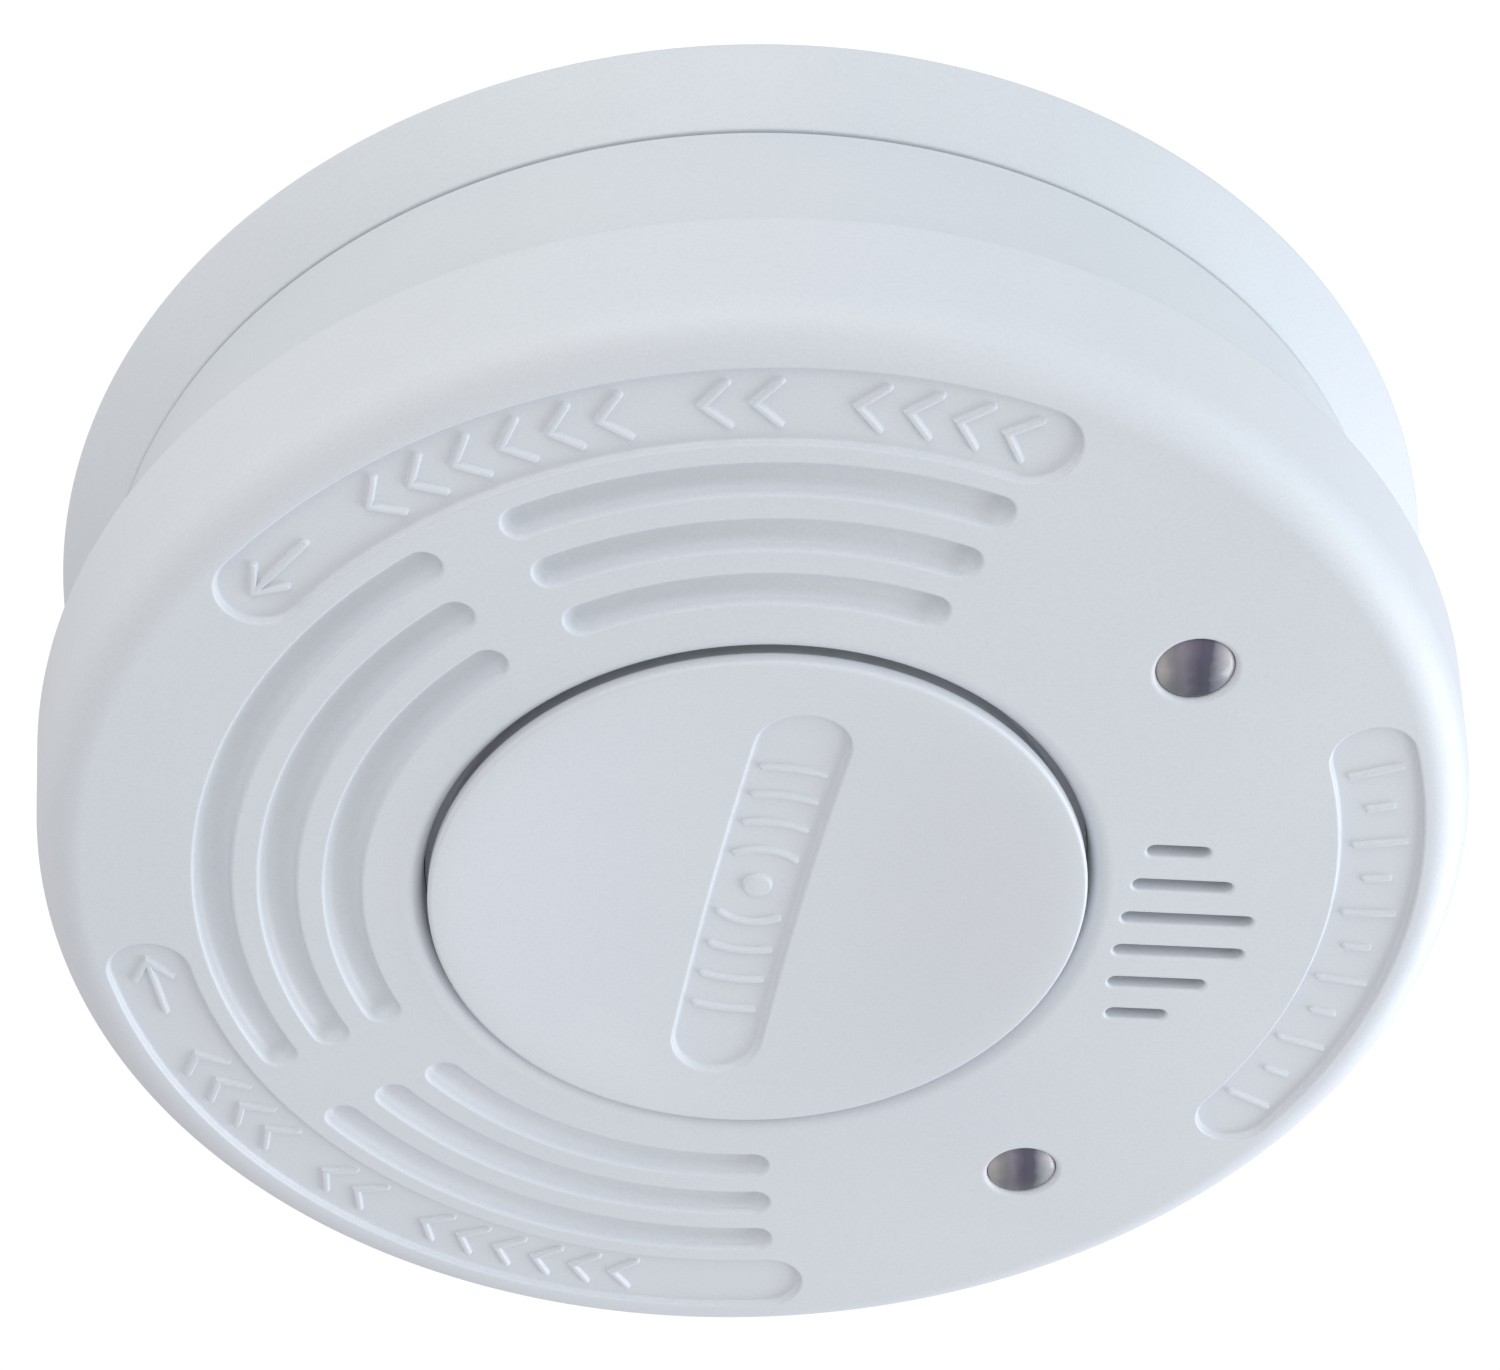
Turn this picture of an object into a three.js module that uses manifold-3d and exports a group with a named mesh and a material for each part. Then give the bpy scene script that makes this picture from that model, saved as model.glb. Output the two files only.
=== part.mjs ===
// Ceiling smoke detector: optical alarm head on a twist-off mounting plate.
// Millimetres. Z is up; z = 0 is the ceiling, and the head hangs below it with its face down.
// Angles are in degrees about Z, from +X towards +Y. Unscrewing the head lowers its angle.
import * as THREE from 'three';
import { mergeVertices } from 'three/addons/utils/BufferGeometryUtils.js';
import Module from 'manifold-3d';

const wasm = await Module();
wasm.setup();

// ---------- driving dimensions ----------
const GAP = 0.3;                 // clearance between pieces that touch
const SEGMENTS = 48;             // facets around a large round
const FINE = 20;                 // facets around a small round

const FACE_Z = -28.4;            // flat front face of the cover
const COVER_WALL = 2.2;
const RIM_Z = -18.8;             // back edge of the flared cover side
const RIM_R = 50;
const FACE_R = 46;               // where the flat face ends
const EDGE_R = 3.2;              // rounding between face and side
const FLARE = 7;                 // side's lean, degrees
const HOLE_R = 23.0;             // button hole in the cover
const HOLE_BRINK = 1.4;          // rounding of the hole's front edge
const COLLAR_Z = -24.9;          // top of the collar around the button hole

const PLATE_R = 50.7;            // mounting plate at the ceiling
const SEAM_R = 47;               // plate and housing where they meet
const PLATE_Z = -4.65;           // lower edge of the plate's skirt
const WEB = 2;                   // thickness of the plate's flat web
const HOUSING_Z = -5;            // back of the housing
const HOUSING_WALL = 1.8;
const HOUSING_RIM_Z = -16.1;     // lower edge of the housing's side
const BOARD_TOP = -11.5;
const BOARD_THICK = 1.6;
const UNDER_BOARD = BOARD_TOP - BOARD_THICK - GAP;   // where parts under the board start

const GROOVE_RADII = [28.4, 32.8, 37.2];
const GROOVE_W = 2.5;
const GROOVE_DEPTH = 1;
const GROOVE_GROUPS = [[[90.5, 147.5], [90.5, 148], [90.5, 148.5]],
  [[159, 237], [158, 238.4], [157.4, 239.7]],
  [[246.6, 297], [246.8, 297], [247, 297]]];
const PANEL_RADII = [39.9, 45.6];
const PANEL_DEPTH = 0.5;
const MARK_HEIGHT = 0.3;         // raised marks inside the panels
const MARK_W = 0.45;
const CHEVRON_GROUPS = [6, 2, 4];         // chevrons along a turning panel, from its arrow
const CHEVRON_PITCH = 4.2;                // degrees
const MARK_R = (PANEL_RADII[0] + PANEL_RADII[1]) / 2;
const REMOVE_PANEL = [221.5, 299];
const TIGHTEN_PANEL = [87.5, 178.5];
const CARE_PANEL = [-18.5, 40];

const LED_PLACES = [[35, -34], [36, 58.5]];          // radius, angle
const LED_HOLE_R = 2.6;
const SOUNDER_R = 29.6;
const SOUNDER_ANGLE = 10.7;
const SLOT_PITCH = 3.3;
const SLOT_W = 1.1;
const SLOTS = [[-2.5, 26, 30.4], [-1.5, 25.6, 32.6], [-0.5, 25.4, 34.7],
  [0.5, 25.4, 34.7], [1.5, 25.6, 32.6], [2.5, 26, 30.4]];   // pitches aside, start, end
const SLOT_TILT = -3;
const SOUNDER_MOUTH_Z = -22.9;   // clear of the button inside the cover
const LAMP_PROUD = 0.2;          // lamp crowns stand this far out of the face

const BUTTON_R = 22.65;
const BUTTON_PROUD = 0.5;
const BUTTON_DISH = 1.8;
const BUTTON_TRAVEL = 0.8;
const BUTTON_TOP = -24.5;        // inner end of the button's skirt
const LUG_ANGLES = [50, 140, 222, 318];   // snap lugs that keep the button in
const LUG_TOP = -23.8;
const BADGE = { length: 35.6, width: 6.4, angle: 103.7, depth: 0.45 };

const SCREW_R = 30;             // circle of the ceiling screws
const SCREW_SLOT = [SCREW_R - 2.3, SCREW_R + 2.3];
const KEYHOLE_R = 4.6;           // passes a screw's head
const TWIST = 18;                // degrees from locked to free
const BAYONET_COUNT = 4;
const LEDGE = { inner: 38.6, outer: 40.8, low: -4.35, high: -3.35, half: 9 };
const LIP = { inner: 36.9, neck: 38.2, outer: 40.3, low: -3.05, high: -2.3, half: 7 };
const BOSS_R = 41;               // radius of the cover screws' circle
const BOSS_ANGLES = [75, 195, 315];
const BOARD_SCREWS = [[-13, 34], [38.5, -10.5]];
const PIN = { radius: 30, angle: 45, r: 1.5, travel: 1.2 };
const CHAMBER = [0, -24];        // centre of the optical chamber
const CHAMBER_R = 15;
const VANE_Z = [-21.9, -15.9];   // low and high ends of the labyrinth's vanes
const EMITTER_ANGLE = 200;
const RECEIVER_ANGLE = 330;
const OPTICS_Z = -19.1;
const CELL = { x: -27, z: -15, r: 7.25, length: 50.5 };

// ---------- helpers ----------
const rad = THREE.MathUtils.degToRad;
const polar = (r, deg) => [r * Math.cos(rad(deg)), r * Math.sin(rad(deg))];

function solid(geometry) {
  const bare = geometry.clone();
  bare.deleteAttribute('normal');
  bare.deleteAttribute('uv');
  const merged = mergeVertices(bare, 1e-4);
  const index = merged.index.array;
  const keep = [];
  for (let i = 0; i < index.length; i += 3) {
    const [a, b, c] = [index[i], index[i + 1], index[i + 2]];
    if (a !== b && b !== c && a !== c) keep.push(a, b, c);
  }
  const points = new Float32Array(merged.attributes.position.array);
  const make = (tris) => new wasm.Manifold(new wasm.Mesh(
    { numProp: 3, vertProperties: points, triVerts: new Uint32Array(tris) }));
  const first = make(keep);
  if (first.volume() > 0) return first;
  for (let i = 0; i < keep.length; i += 3) [keep[i], keep[i + 1]] = [keep[i + 1], keep[i]];
  return make(keep);
}

function geometryOf(manifold) {
  const mesh = manifold.getMesh();
  const geometry = new THREE.BufferGeometry();
  geometry.setAttribute('position', new THREE.BufferAttribute(new Float32Array(mesh.vertProperties), 3));
  geometry.setIndex(new THREE.BufferAttribute(new Uint32Array(mesh.triVerts), 1));
  geometry.computeVertexNormals();
  return geometry;
}

const join = (...parts) => parts.flat().reduce((all, next) => all.add(next));
const cut = (body, ...tools) => tools.flat().reduce((all, next) => all.subtract(next), body);

// Turned solid about Z from [radius, z] points.
function lathe(profile, segments = SEGMENTS) {
  const points = profile.map(([r, z]) => new THREE.Vector2(r, z));
  points.push(points[0].clone());
  return solid(new THREE.LatheGeometry(points, segments).rotateX(Math.PI / 2));
}

const disc = (r, low, high, segments = FINE) =>
  lathe([[0, low], [r, low], [r, high], [0, high]], segments);

const ring = (inner, outer, low, high, segments = SEGMENTS) =>
  lathe([[inner, low], [outer, low], [outer, high], [inner, high]], segments);

function box(x0, x1, y0, y1, z0, z1) {
  const geometry = new THREE.BoxGeometry(x1 - x0, y1 - y0, z1 - z0);
  return solid(geometry.translate((x0 + x1) / 2, (y0 + y1) / 2, (z0 + z1) / 2));
}

function extrude(outline, low, high) {
  const shape = new THREE.Shape(outline.map(([x, y]) => new THREE.Vector2(x, y)));
  const geometry = new THREE.ExtrudeGeometry(shape, { depth: high - low, bevelEnabled: false });
  return solid(geometry.translate(0, 0, low));
}

function arc(cx, cy, r, from, to, steps) {
  return Array.from({ length: steps + 1 }, (_, i) => {
    const [x, y] = polar(r, from + (to - from) * i / steps);
    return [cx + x, cy + y];
  });
}

// Outline of a band along a circle about Z, with round or square ends.
function band(inner, outer, from, to, round) {
  const steps = Math.max(2, Math.round((to - from) / 6));
  const outside = arc(0, 0, outer, from, to, steps);
  const inside = arc(0, 0, inner, to, from, steps);
  if (!round) return [...outside, ...inside];
  const half = (outer - inner) / 2;
  const [ex, ey] = polar(inner + half, to);
  const [sx, sy] = polar(inner + half, from);
  const endCap = arc(ex, ey, half, to, to + 180, 4).slice(1, -1);
  const startCap = arc(sx, sy, half, from + 180, from + 360, 4).slice(1, -1);
  return [...outside, ...endCap, ...inside, ...startCap];
}

// The angle that a round end of the given half width takes at radius r.
const capAngle = (half, r) => THREE.MathUtils.radToDeg(half / r);

function sector(inner, outer, from, to, low, high, round = false) {
  return extrude(band(inner, outer, from, to, round), low, high);
}

function stadium(length, width, angle) {
  const reach = (length - width) / 2;
  const [ax, ay] = polar(reach, angle);
  return [...arc(ax, ay, width / 2, angle - 90, angle + 90, 6),
    ...arc(-ax, -ay, width / 2, angle + 90, angle + 270, 6)];
}

// A stroke of even width along a bent line.
function stroke(points, width) {
  const left = [];
  const right = [];
  points.forEach(([x, y], i) => {
    const [px, py] = points[Math.max(i - 1, 0)];
    const [nx, ny] = points[Math.min(i + 1, points.length - 1)];
    const before = new THREE.Vector2(x - px, y - py).normalize();
    const after = new THREE.Vector2(nx - x, ny - y).normalize();
    const along = before.clone().add(after).normalize();
    const facing = i > 0 && i < points.length - 1 ? along.dot(after) : 1;
    const w = width / 2 / facing;
    left.push([x - along.y * w, y + along.x * w]);
    right.unshift([x + along.y * w, y - along.x * w]);
  });
  return [...left, ...right];
}

// A mark drawn about (0, 0), x along the panel and y across it, set on the panel's circle.
function onPanel(outline, angle) {
  const [cx, cy] = polar(MARK_R, angle);
  const [ux, uy] = polar(1, angle + 90);
  const [vx, vy] = polar(1, angle);
  return outline.map(([x, y]) => [cx + ux * x + vx * y, cy + uy * x + vy * y]);
}

function pieces() {
  const root = new THREE.Group();
  const add = (name, body, finish) => {
    const mesh = new THREE.Mesh(geometryOf(body), finish);
    mesh.name = name;
    root.add(mesh);
  };
  return { root, add };
}

const material = (color, roughness, metalness = 0) =>
  new THREE.MeshStandardMaterial({ color, roughness, metalness });

const FINISH = {
  white: material(0xdfe4ea, 0.55),
  inner: material(0xcfd4da, 0.6),
  black: material(0x16171a, 0.65),
  board: material(0x1f6b3c, 0.5),
  steel: material(0xb4b8bc, 0.3, 1),
  brass: material(0xc9a24e, 0.35, 1),
  ceramic: material(0xe4ded0, 0.5),
  clear: material(0xdfe6f2, 0.1),
  tinted: material(0x23202c, 0.15),
  wrap: material(0x2b4d7e, 0.4),
  copper: material(0xa8572c, 0.4, 0.6),
};

// ---------- mounting plate ----------
function mountingPlate() {
  const skirt = 1.8;
  const body = lathe([[0, 0], [PLATE_R - 0.4, 0], [PLATE_R, -0.5], [SEAM_R + 0.25, PLATE_Z + 0.25],
    [SEAM_R - 0.1, PLATE_Z], [SEAM_R - skirt, PLATE_Z], [PLATE_R - skirt - 1.6, -WEB],
    [0, -WEB]]);
  const collar = ring(LEDGE.outer, LEDGE.outer + 1.6, LEDGE.low, -WEB / 2);
  const stiffener = ring(19, 20.4, -3.4, -WEB / 2, 48);
  const ledges = [];
  const cuts = [];
  for (let i = 0; i < BAYONET_COUNT; i += 1) {
    const middle = 45 + i * 360 / BAYONET_COUNT;
    ledges.push(sector(LEDGE.inner, LEDGE.outer + 0.4, middle - LEDGE.half, middle + LEDGE.half,
      LEDGE.low, LEDGE.high));
    const stop = middle + LIP.half + 0.6;
    ledges.push(sector(LEDGE.inner, LEDGE.outer + 0.4, stop, stop + 2.2, LEDGE.low, -WEB / 2));
  }
  for (const side of [0, 180]) {
    cuts.push(sector(...SCREW_SLOT, side + 70, side + 110, -3, 1, true));
    const [hx, hy] = polar(SCREW_R, side);
    const hole = disc(KEYHOLE_R, -3, 1).translate(hx, hy, 0);
    cuts.push(hole, sector(...SCREW_SLOT, side, side + 16, -3, 1, true));
  }
  const path = rad(TWIST) * PIN.radius;
  const rise = -WEB + PIN.travel - 0.25;
  const ramp = extrude([[0, -WEB - 0.5], [0.4, -WEB], [path - PIN.r, rise], [path + PIN.r, rise],
    [path + PIN.r, -WEB - 0.5]], -2.3, 2.3);
  const [px, py] = polar(PIN.radius, PIN.angle);
  const standing = ramp.rotate([90, 0, 0]).rotate([0, 0, PIN.angle - 90 - TWIST / 2]);
  cuts.push(standing.translate(px, py, 0));
  return cut(join(body, collar, stiffener, ledges), cuts);
}

// ---------- rear housing ----------
function rearHousing() {
  const w = HOUSING_WALL;
  const shell = lathe([[0, HOUSING_Z], [SEAM_R - 0.35, HOUSING_Z], [SEAM_R, HOUSING_Z - 0.35],
    [SEAM_R - 0.4, HOUSING_RIM_Z + 0.3], [SEAM_R - 0.7, HOUSING_RIM_Z],
    [SEAM_R - 0.3 - w, HOUSING_RIM_Z], [SEAM_R - 0.1 - w, HOUSING_Z - w], [0, HOUSING_Z - w]]);
  const added = [ring(44.3, 45.3, HOUSING_RIM_Z - 2.4, HOUSING_RIM_Z + 0.4)];   // inlet baffle
  const cuts = [];
  for (let i = 0; i < BAYONET_COUNT; i += 1) {
    const middle = 45 + i * 360 / BAYONET_COUNT;
    const [from, to] = [middle - LIP.half, middle + LIP.half];
    added.push(sector(LIP.inner, LIP.neck, from, to, HOUSING_Z - 0.5, LIP.high));
    added.push(sector(LIP.neck - 0.2, LIP.outer, from, to, LIP.low, LIP.high));
  }
  for (const angle of BOSS_ANGLES) {
    const [x, y] = polar(BOSS_R, angle);
    added.push(disc(3.6, -11, HOUSING_Z - w + 0.2).translate(x, y, 0));
    cuts.push(disc(3, -7.1, HOUSING_Z + 1).translate(x, y, 0));
    cuts.push(disc(1.6, -12, HOUSING_Z).translate(x, y, 0));
  }
  for (const [x, y] of BOARD_SCREWS) {
    added.push(disc(2.8, BOARD_TOP + GAP, HOUSING_Z - w + 0.2).translate(x, y, 0));
    cuts.push(disc(1.4, -14, -7.4).translate(x, y, 0));
  }
  const fins = 24;
  for (let i = 0; i < fins; i += 1) {
    const fin = box(44.8, SEAM_R - 0.9, -0.6, 0.6, HOUSING_RIM_Z - 2.4, HOUSING_RIM_Z + 0.4);
    added.push(fin.rotate([0, 0, (i + 0.5) * 360 / fins]));
  }
  for (const side of [-1, 1]) {
    const y = side * 15;
    const cradle = box(CELL.x - 6, CELL.x + 6, y - 1, y + 1, CELL.z - 1, HOUSING_Z - w + 0.2);
    const round = disc(CELL.r + GAP, -40, 40, 32).rotate([90, 0, 0]).translate(CELL.x, 0, CELL.z);
    added.push(cut(cradle, round));
  }
  const [px, py] = polar(PIN.radius, PIN.angle);
  cuts.push(disc(PIN.r + GAP, -8, 0, 16).translate(px, py, 0));
  return cut(join(shell, added), cuts);
}

// ---------- front cover ----------
function edgeArc(centreR, centreZ, r, from, to, steps) {
  return Array.from({ length: steps + 1 }, (_, i) => {
    const a = rad(from + (to - from) * i / steps);
    return [centreR + r * Math.cos(a), centreZ + r * Math.sin(a)];
  });
}

function coverShell() {
  const centreZ = FACE_Z + EDGE_R;
  const outer = edgeArc(FACE_R, centreZ, EDGE_R, -90, -FLARE, 4);
  const inner = edgeArc(FACE_R, centreZ, EDGE_R - COVER_WALL, -FLARE, -90, 2);
  const brink = edgeArc(HOLE_R + HOLE_BRINK, FACE_Z + HOLE_BRINK, HOLE_BRINK, -180, -90, 4);
  return lathe([...brink, ...outer, [RIM_R, RIM_Z], [RIM_R - 1.8, RIM_Z], ...inner,
    [HOLE_R + 1.5, FACE_Z + COVER_WALL], [HOLE_R + 1.5, COLLAR_Z], [HOLE_R, COLLAR_Z]]);
}

function grooves() {
  return GROOVE_GROUPS.flatMap((group) => group.map(([from, to], i) => {
    const r = GROOVE_RADII[i];
    const cap = capAngle(GROOVE_W / 2, r);
    return sector(r - GROOVE_W / 2, r + GROOVE_W / 2, from + cap, to - cap,
      FACE_Z - 1, FACE_Z + GROOVE_DEPTH, true);
  }));
}

function panel([from, to]) {
  const [inner, outer] = PANEL_RADII;
  const cap = capAngle((outer - inner) / 2, MARK_R);
  return sector(inner, outer, from + cap, to - cap, FACE_Z - 1, FACE_Z + PANEL_DEPTH, true);
}

const raised = (outline) =>
  extrude(outline, FACE_Z + PANEL_DEPTH - MARK_HEIGHT, FACE_Z + PANEL_DEPTH + GAP);

// An arrow and groups of chevrons, all pointing the way that the head is turned.
function turnMarks(start, turn) {
  const place = (points, at) => raised(onPanel(stroke(points, MARK_W), at));
  const head = [[turn * 1.2, 1.3], [-turn * 0.6, 0], [turn * 1.2, -1.3]];
  const marks = [place(head, start), place([[-turn * 0.2, 0], [turn * 4.7, 0]], start)];
  const chevron = [[turn * 0.8, 1.6], [-turn * 0.8, 0], [turn * 0.8, -1.6]];
  let angle = start + turn * 14;
  for (const count of turn > 0 ? CHEVRON_GROUPS : CHEVRON_GROUPS.toReversed()) {
    for (let i = 0; i < count; i += 1) marks.push(place(chevron, angle + turn * i * CHEVRON_PITCH));
    angle += turn * (count + 1) * CHEVRON_PITCH;
  }
  return marks;
}

// A plain row of long and short bars.
function careMarks() {
  const marks = [];
  const count = 11;
  for (let i = 0; i < count; i += 1) {
    const angle = CARE_PANEL[0] + 6 + i * (CARE_PANEL[1] - CARE_PANEL[0] - 12) / (count - 1);
    const half = i % 2 ? 0.8 : 1.7;
    marks.push(raised(onPanel(stroke([[0, -half], [0, half]], MARK_W), angle)));
  }
  return marks;
}

function sounderSlots() {
  return SLOTS.map(([aside, from, to]) => {
    const y = aside * SLOT_PITCH;
    const outline = stadium(to - from, SLOT_W, 0).map(([x, v]) => [x + (from + to) / 2, v + y]);
    const slot = extrude(outline, FACE_Z - 1, FACE_Z + COVER_WALL + 1);
    const centred = slot.translate(-SOUNDER_R, 0, 0).rotate([0, 0, SLOT_TILT]);
    return centred.translate(SOUNDER_R, 0, 0).rotate([0, 0, SOUNDER_ANGLE]);
  });
}

function ledHoles() {
  return LED_PLACES.map(([r, angle]) => {
    const [x, y] = polar(r, angle);
    const brink = [[LED_HOLE_R + 0.4, FACE_Z], [LED_HOLE_R + 0.12, FACE_Z + 0.12],
      [LED_HOLE_R, FACE_Z + 0.4]];
    const hole = lathe([[0, FACE_Z - 1], [LED_HOLE_R + 0.4, FACE_Z - 1], ...brink,
      [LED_HOLE_R, FACE_Z + COVER_WALL + 1], [0, FACE_Z + COVER_WALL + 1]], FINE);
    return hole.translate(x, y, 0);
  });
}

function frontCover() {
  const bosses = BOSS_ANGLES.map((angle) => {
    const [x, y] = polar(BOSS_R, angle);
    return disc(3, FACE_Z + COVER_WALL - 0.3, -11.3).translate(x, y, 0);
  });
  const pilots = BOSS_ANGLES.map((angle) => {
    const [x, y] = polar(BOSS_R, angle);
    return disc(1.5, -20, -11, 16).translate(x, y, 0);
  });
  const panels = [REMOVE_PANEL, TIGHTEN_PANEL, CARE_PANEL].map(panel);
  const body = cut(join(coverShell(), bosses), grooves(), panels, sounderSlots(), ledHoles(), pilots);
  return join(body, turnMarks(REMOVE_PANEL[0] + 3.6, 1), turnMarks(TIGHTEN_PANEL[1] - 3.6, -1),
    careMarks());
}

// ---------- test button ----------
function testButton() {
  const crest = FACE_Z - BUTTON_PROUD;
  const wall = 1.6;
  const dish = [0, 4, 8, 12, 15, 18, 20, 21.8];
  const depth = (r) => crest + BUTTON_DISH * (1 - (r / 21.8) ** 2) ** 1.3;
  const front = (drop) => dish.map((r) => [r, depth(r) + drop]);
  const cap = lathe([...front(0), [BUTTON_R - 0.3, crest], [BUTTON_R, crest + 0.3],
    [BUTTON_R, BUTTON_TOP], [BUTTON_R - wall, BUTTON_TOP],
    [BUTTON_R - wall, crest + BUTTON_DISH + wall], [0, crest + BUTTON_DISH + wall]]);
  const stemTop = UNDER_BOARD - 3.5 - 1.3;
  const stem = disc(2.2, crest + BUTTON_DISH + 1, stemTop);
  const lugs = LUG_ANGLES.map((angle) =>
    join(sector(BUTTON_R - wall, BUTTON_R, angle - 6, angle + 6, BUTTON_TOP - 0.2, LUG_TOP),
      sector(BUTTON_R - 0.3, HOLE_R + 1.1, angle - 6, angle + 6, COLLAR_Z + GAP, LUG_TOP)));
  const layer = (from, to) => lathe([...front(from), ...front(to).reverse()]);
  const badge = extrude(stadium(BADGE.length, BADGE.width, BADGE.angle), crest - 1, crest + 4);
  const marks = buttonMarks(crest - 1, crest + 4).map((mark) =>
    mark.intersect(layer(BADGE.depth - MARK_HEIGHT, BADGE.depth + 0.3)));
  return join(cut(join(cap, stem, lugs), badge.intersect(layer(-1, BADGE.depth))), marks);
}

// A ring with sound arcs on both sides, along the badge.
function buttonMarks(low, high) {
  const turn = (points) => points.map(([x, y]) => {
    const a = rad(BADGE.angle);
    return [x * Math.cos(a) - y * Math.sin(a), x * Math.sin(a) + y * Math.cos(a)];
  });
  const shapes = [disc(1.1, low, high, 12)];
  for (const side of [0, 180]) {
    for (const r of [3.6, 6.4, 9.2, 12]) {
      const reach = Math.min(38, THREE.MathUtils.radToDeg(Math.asin(2.1 / r)));
      const wave = arc(0, 0, r, side - reach, side + reach, 5);
      shapes.push(extrude(turn(stroke(wave, MARK_W)), low, high));
    }
  }
  return shapes;
}

// ---------- electronics ----------
function circuitBoard() {
  const low = BOARD_TOP - BOARD_THICK;
  const round = disc(43, low, BOARD_TOP, 48);
  const chord = box(-50, -18.6, -50, 50, low - 1, BOARD_TOP + 1);
  const notches = BOSS_ANGLES.map((angle) => {
    const [x, y] = polar(BOSS_R, angle);
    return disc(4.2, low - 1, BOARD_TOP + 1, 16).translate(x, y, 0);
  });
  const holes = BOARD_SCREWS.map(([x, y]) => disc(1.5, low - 1, BOARD_TOP + 1, 12).translate(x, y, 0));
  return cut(round, chord, notches, holes);
}

// Slotted pan-head screw about Z, its head down at z = 0 and its point at the given length.
function screw(headR, headH, shankR, length) {
  const turned = lathe([[0, 0], [headR - 0.5, 0], [headR, 0.5], [headR, headH], [shankR, headH],
    [shankR, length - 1], [shankR * 0.4, length], [0, length]], 12);
  return cut(turned, box(-headR, headR, -0.35, 0.35, -1, 0.7));
}

const DOME = edgeArc(0, 2.5, 2.5, -90, 0, 3);
const CROWN = [[0, 0], [1.2, 0.12], [2.1, 0.37], [2.4, 0.55], [2.5, 0.8]];

// 5 mm lamp about Z: leads up, flange, body and a domed or gently crowned end down at z = 0.
function lamp(end, leads, facets = 12) {
  const body = lathe([...end, [2.5, 7.6], [2.9, 7.6], [2.9, 8.6], [0, 8.6]], facets);
  const legs = [-1.27, 1.27].map((x) => box(x - 0.25, x + 0.25, -0.25, 0.25, 8.2, 8.6 + leads));
  return join(body, legs);
}

function spring(r, wire, low, high, turns) {
  const steps = turns * 10;
  const points = Array.from({ length: steps + 1 }, (_, i) => {
    const [x, y] = polar(r, i * 360 * turns / steps);
    return new THREE.Vector3(x, y, low + wire + (high - low - 2 * wire) * i / steps);
  });
  const section = new THREE.Shape(arc(0, 0, wire / 2, 0, 300, 5).map(([x, y]) => new THREE.Vector2(x, y)));
  return solid(new THREE.ExtrudeGeometry(section,
    { steps, bevelEnabled: false, extrudePath: new THREE.CatmullRomCurve3(points) }));
}

function chip() {
  const low = UNDER_BOARD - 1.9;
  const body = box(-5, 5, -1.95, 1.95, low, UNDER_BOARD);
  const legs = [];
  for (let i = 0; i < 8; i += 1) {
    const x = (i - 3.5) * 1.27;
    legs.push(box(x - 0.2, x + 0.2, -3, 3, UNDER_BOARD - 0.3, UNDER_BOARD));
  }
  return join(body, legs);
}

function inductor() {
  const z = (drop) => UNDER_BOARD - drop;
  return lathe([[0, z(8)], [4.5, z(8)], [4.5, z(7)], [3.9, z(6.8)], [3.9, z(1.2)], [4.5, z(1)],
    [4.5, z(0)], [0, z(0)]], FINE);
}

function capacitor() {
  const z = (drop) => UNDER_BOARD - drop;
  return lathe([[0, z(7.6)], [2.8, z(7.6)], [3.15, z(7.3)], [3.15, z(1.6)], [2.95, z(1.3)],
    [3.15, z(1)], [3.15, z(0)], [0, z(0)]], FINE);
}

function lithiumCell() {
  const half = CELL.length / 2;
  const can = lathe([[0, -half], [CELL.r - 0.6, -half], [CELL.r, -half + 0.6], [CELL.r, half - 2],
    [CELL.r - 0.6, half - 1.4], [2.7, half - 1.4], [2.7, half], [0, half]], 32);
  return can.rotate([-90, 0, 0]).translate(CELL.x, 0, CELL.z);
}

// Welded nickel tab: up the cell's end, then along and up to the board's edge.
function cellTab(side) {
  const end = side * (CELL.length / 2 + GAP);
  const [y0, y1] = side < 0 ? [end - 0.3, end] : [end, end + 0.3];
  const upright = box(CELL.x - 2, CELL.x + 2, y0, y1, CELL.z - 4, UNDER_BOARD + 3.4);
  const run = box(CELL.x - 2, -17.4, y0, y1, UNDER_BOARD - 1.5, UNDER_BOARD);
  return join(upright, run);
}

function powerPin() {
  const [x, y] = polar(PIN.radius, PIN.angle);
  const tip = -WEB - 0.4;
  return lathe([[0, -9.2], [2.5, -9.2], [2.5, -8.3], [PIN.r, -8.3], [PIN.r, tip - 0.4],
    [PIN.r - 0.4, tip], [0, tip]], 16).translate(x, y, 0);
}

function testSwitch() {
  const body = box(-3, 3, -3, 3, UNDER_BOARD - 3.5, UNDER_BOARD);
  const collar = disc(2.7, UNDER_BOARD - 3.9, UNDER_BOARD - 3, 16);
  return cut(join(body, collar), disc(2, UNDER_BOARD - 5, UNDER_BOARD - 1, 16));
}

function sounderHousing() {
  const [x, y] = polar(SOUNDER_R, SOUNDER_ANGLE);
  const low = SOUNDER_MOUTH_Z;
  const cup = lathe([[10.6, low], [12, low], [12, UNDER_BOARD], [9.6, UNDER_BOARD],
    [9.6, UNDER_BOARD - 3.4], [8.6, UNDER_BOARD - 3.4], [8.6, UNDER_BOARD - 4.6],
    [10.6, UNDER_BOARD - 6]], 32);
  return cup.translate(x, y, 0);
}

// ---------- optical chamber ----------
function inChamber(body, angle, r) {
  const [x, y] = polar(r, angle);
  return body.rotate([0, 90, 0]).rotate([0, 0, angle]).translate(CHAMBER[0] + x, CHAMBER[1] + y, OPTICS_Z);
}

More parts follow.
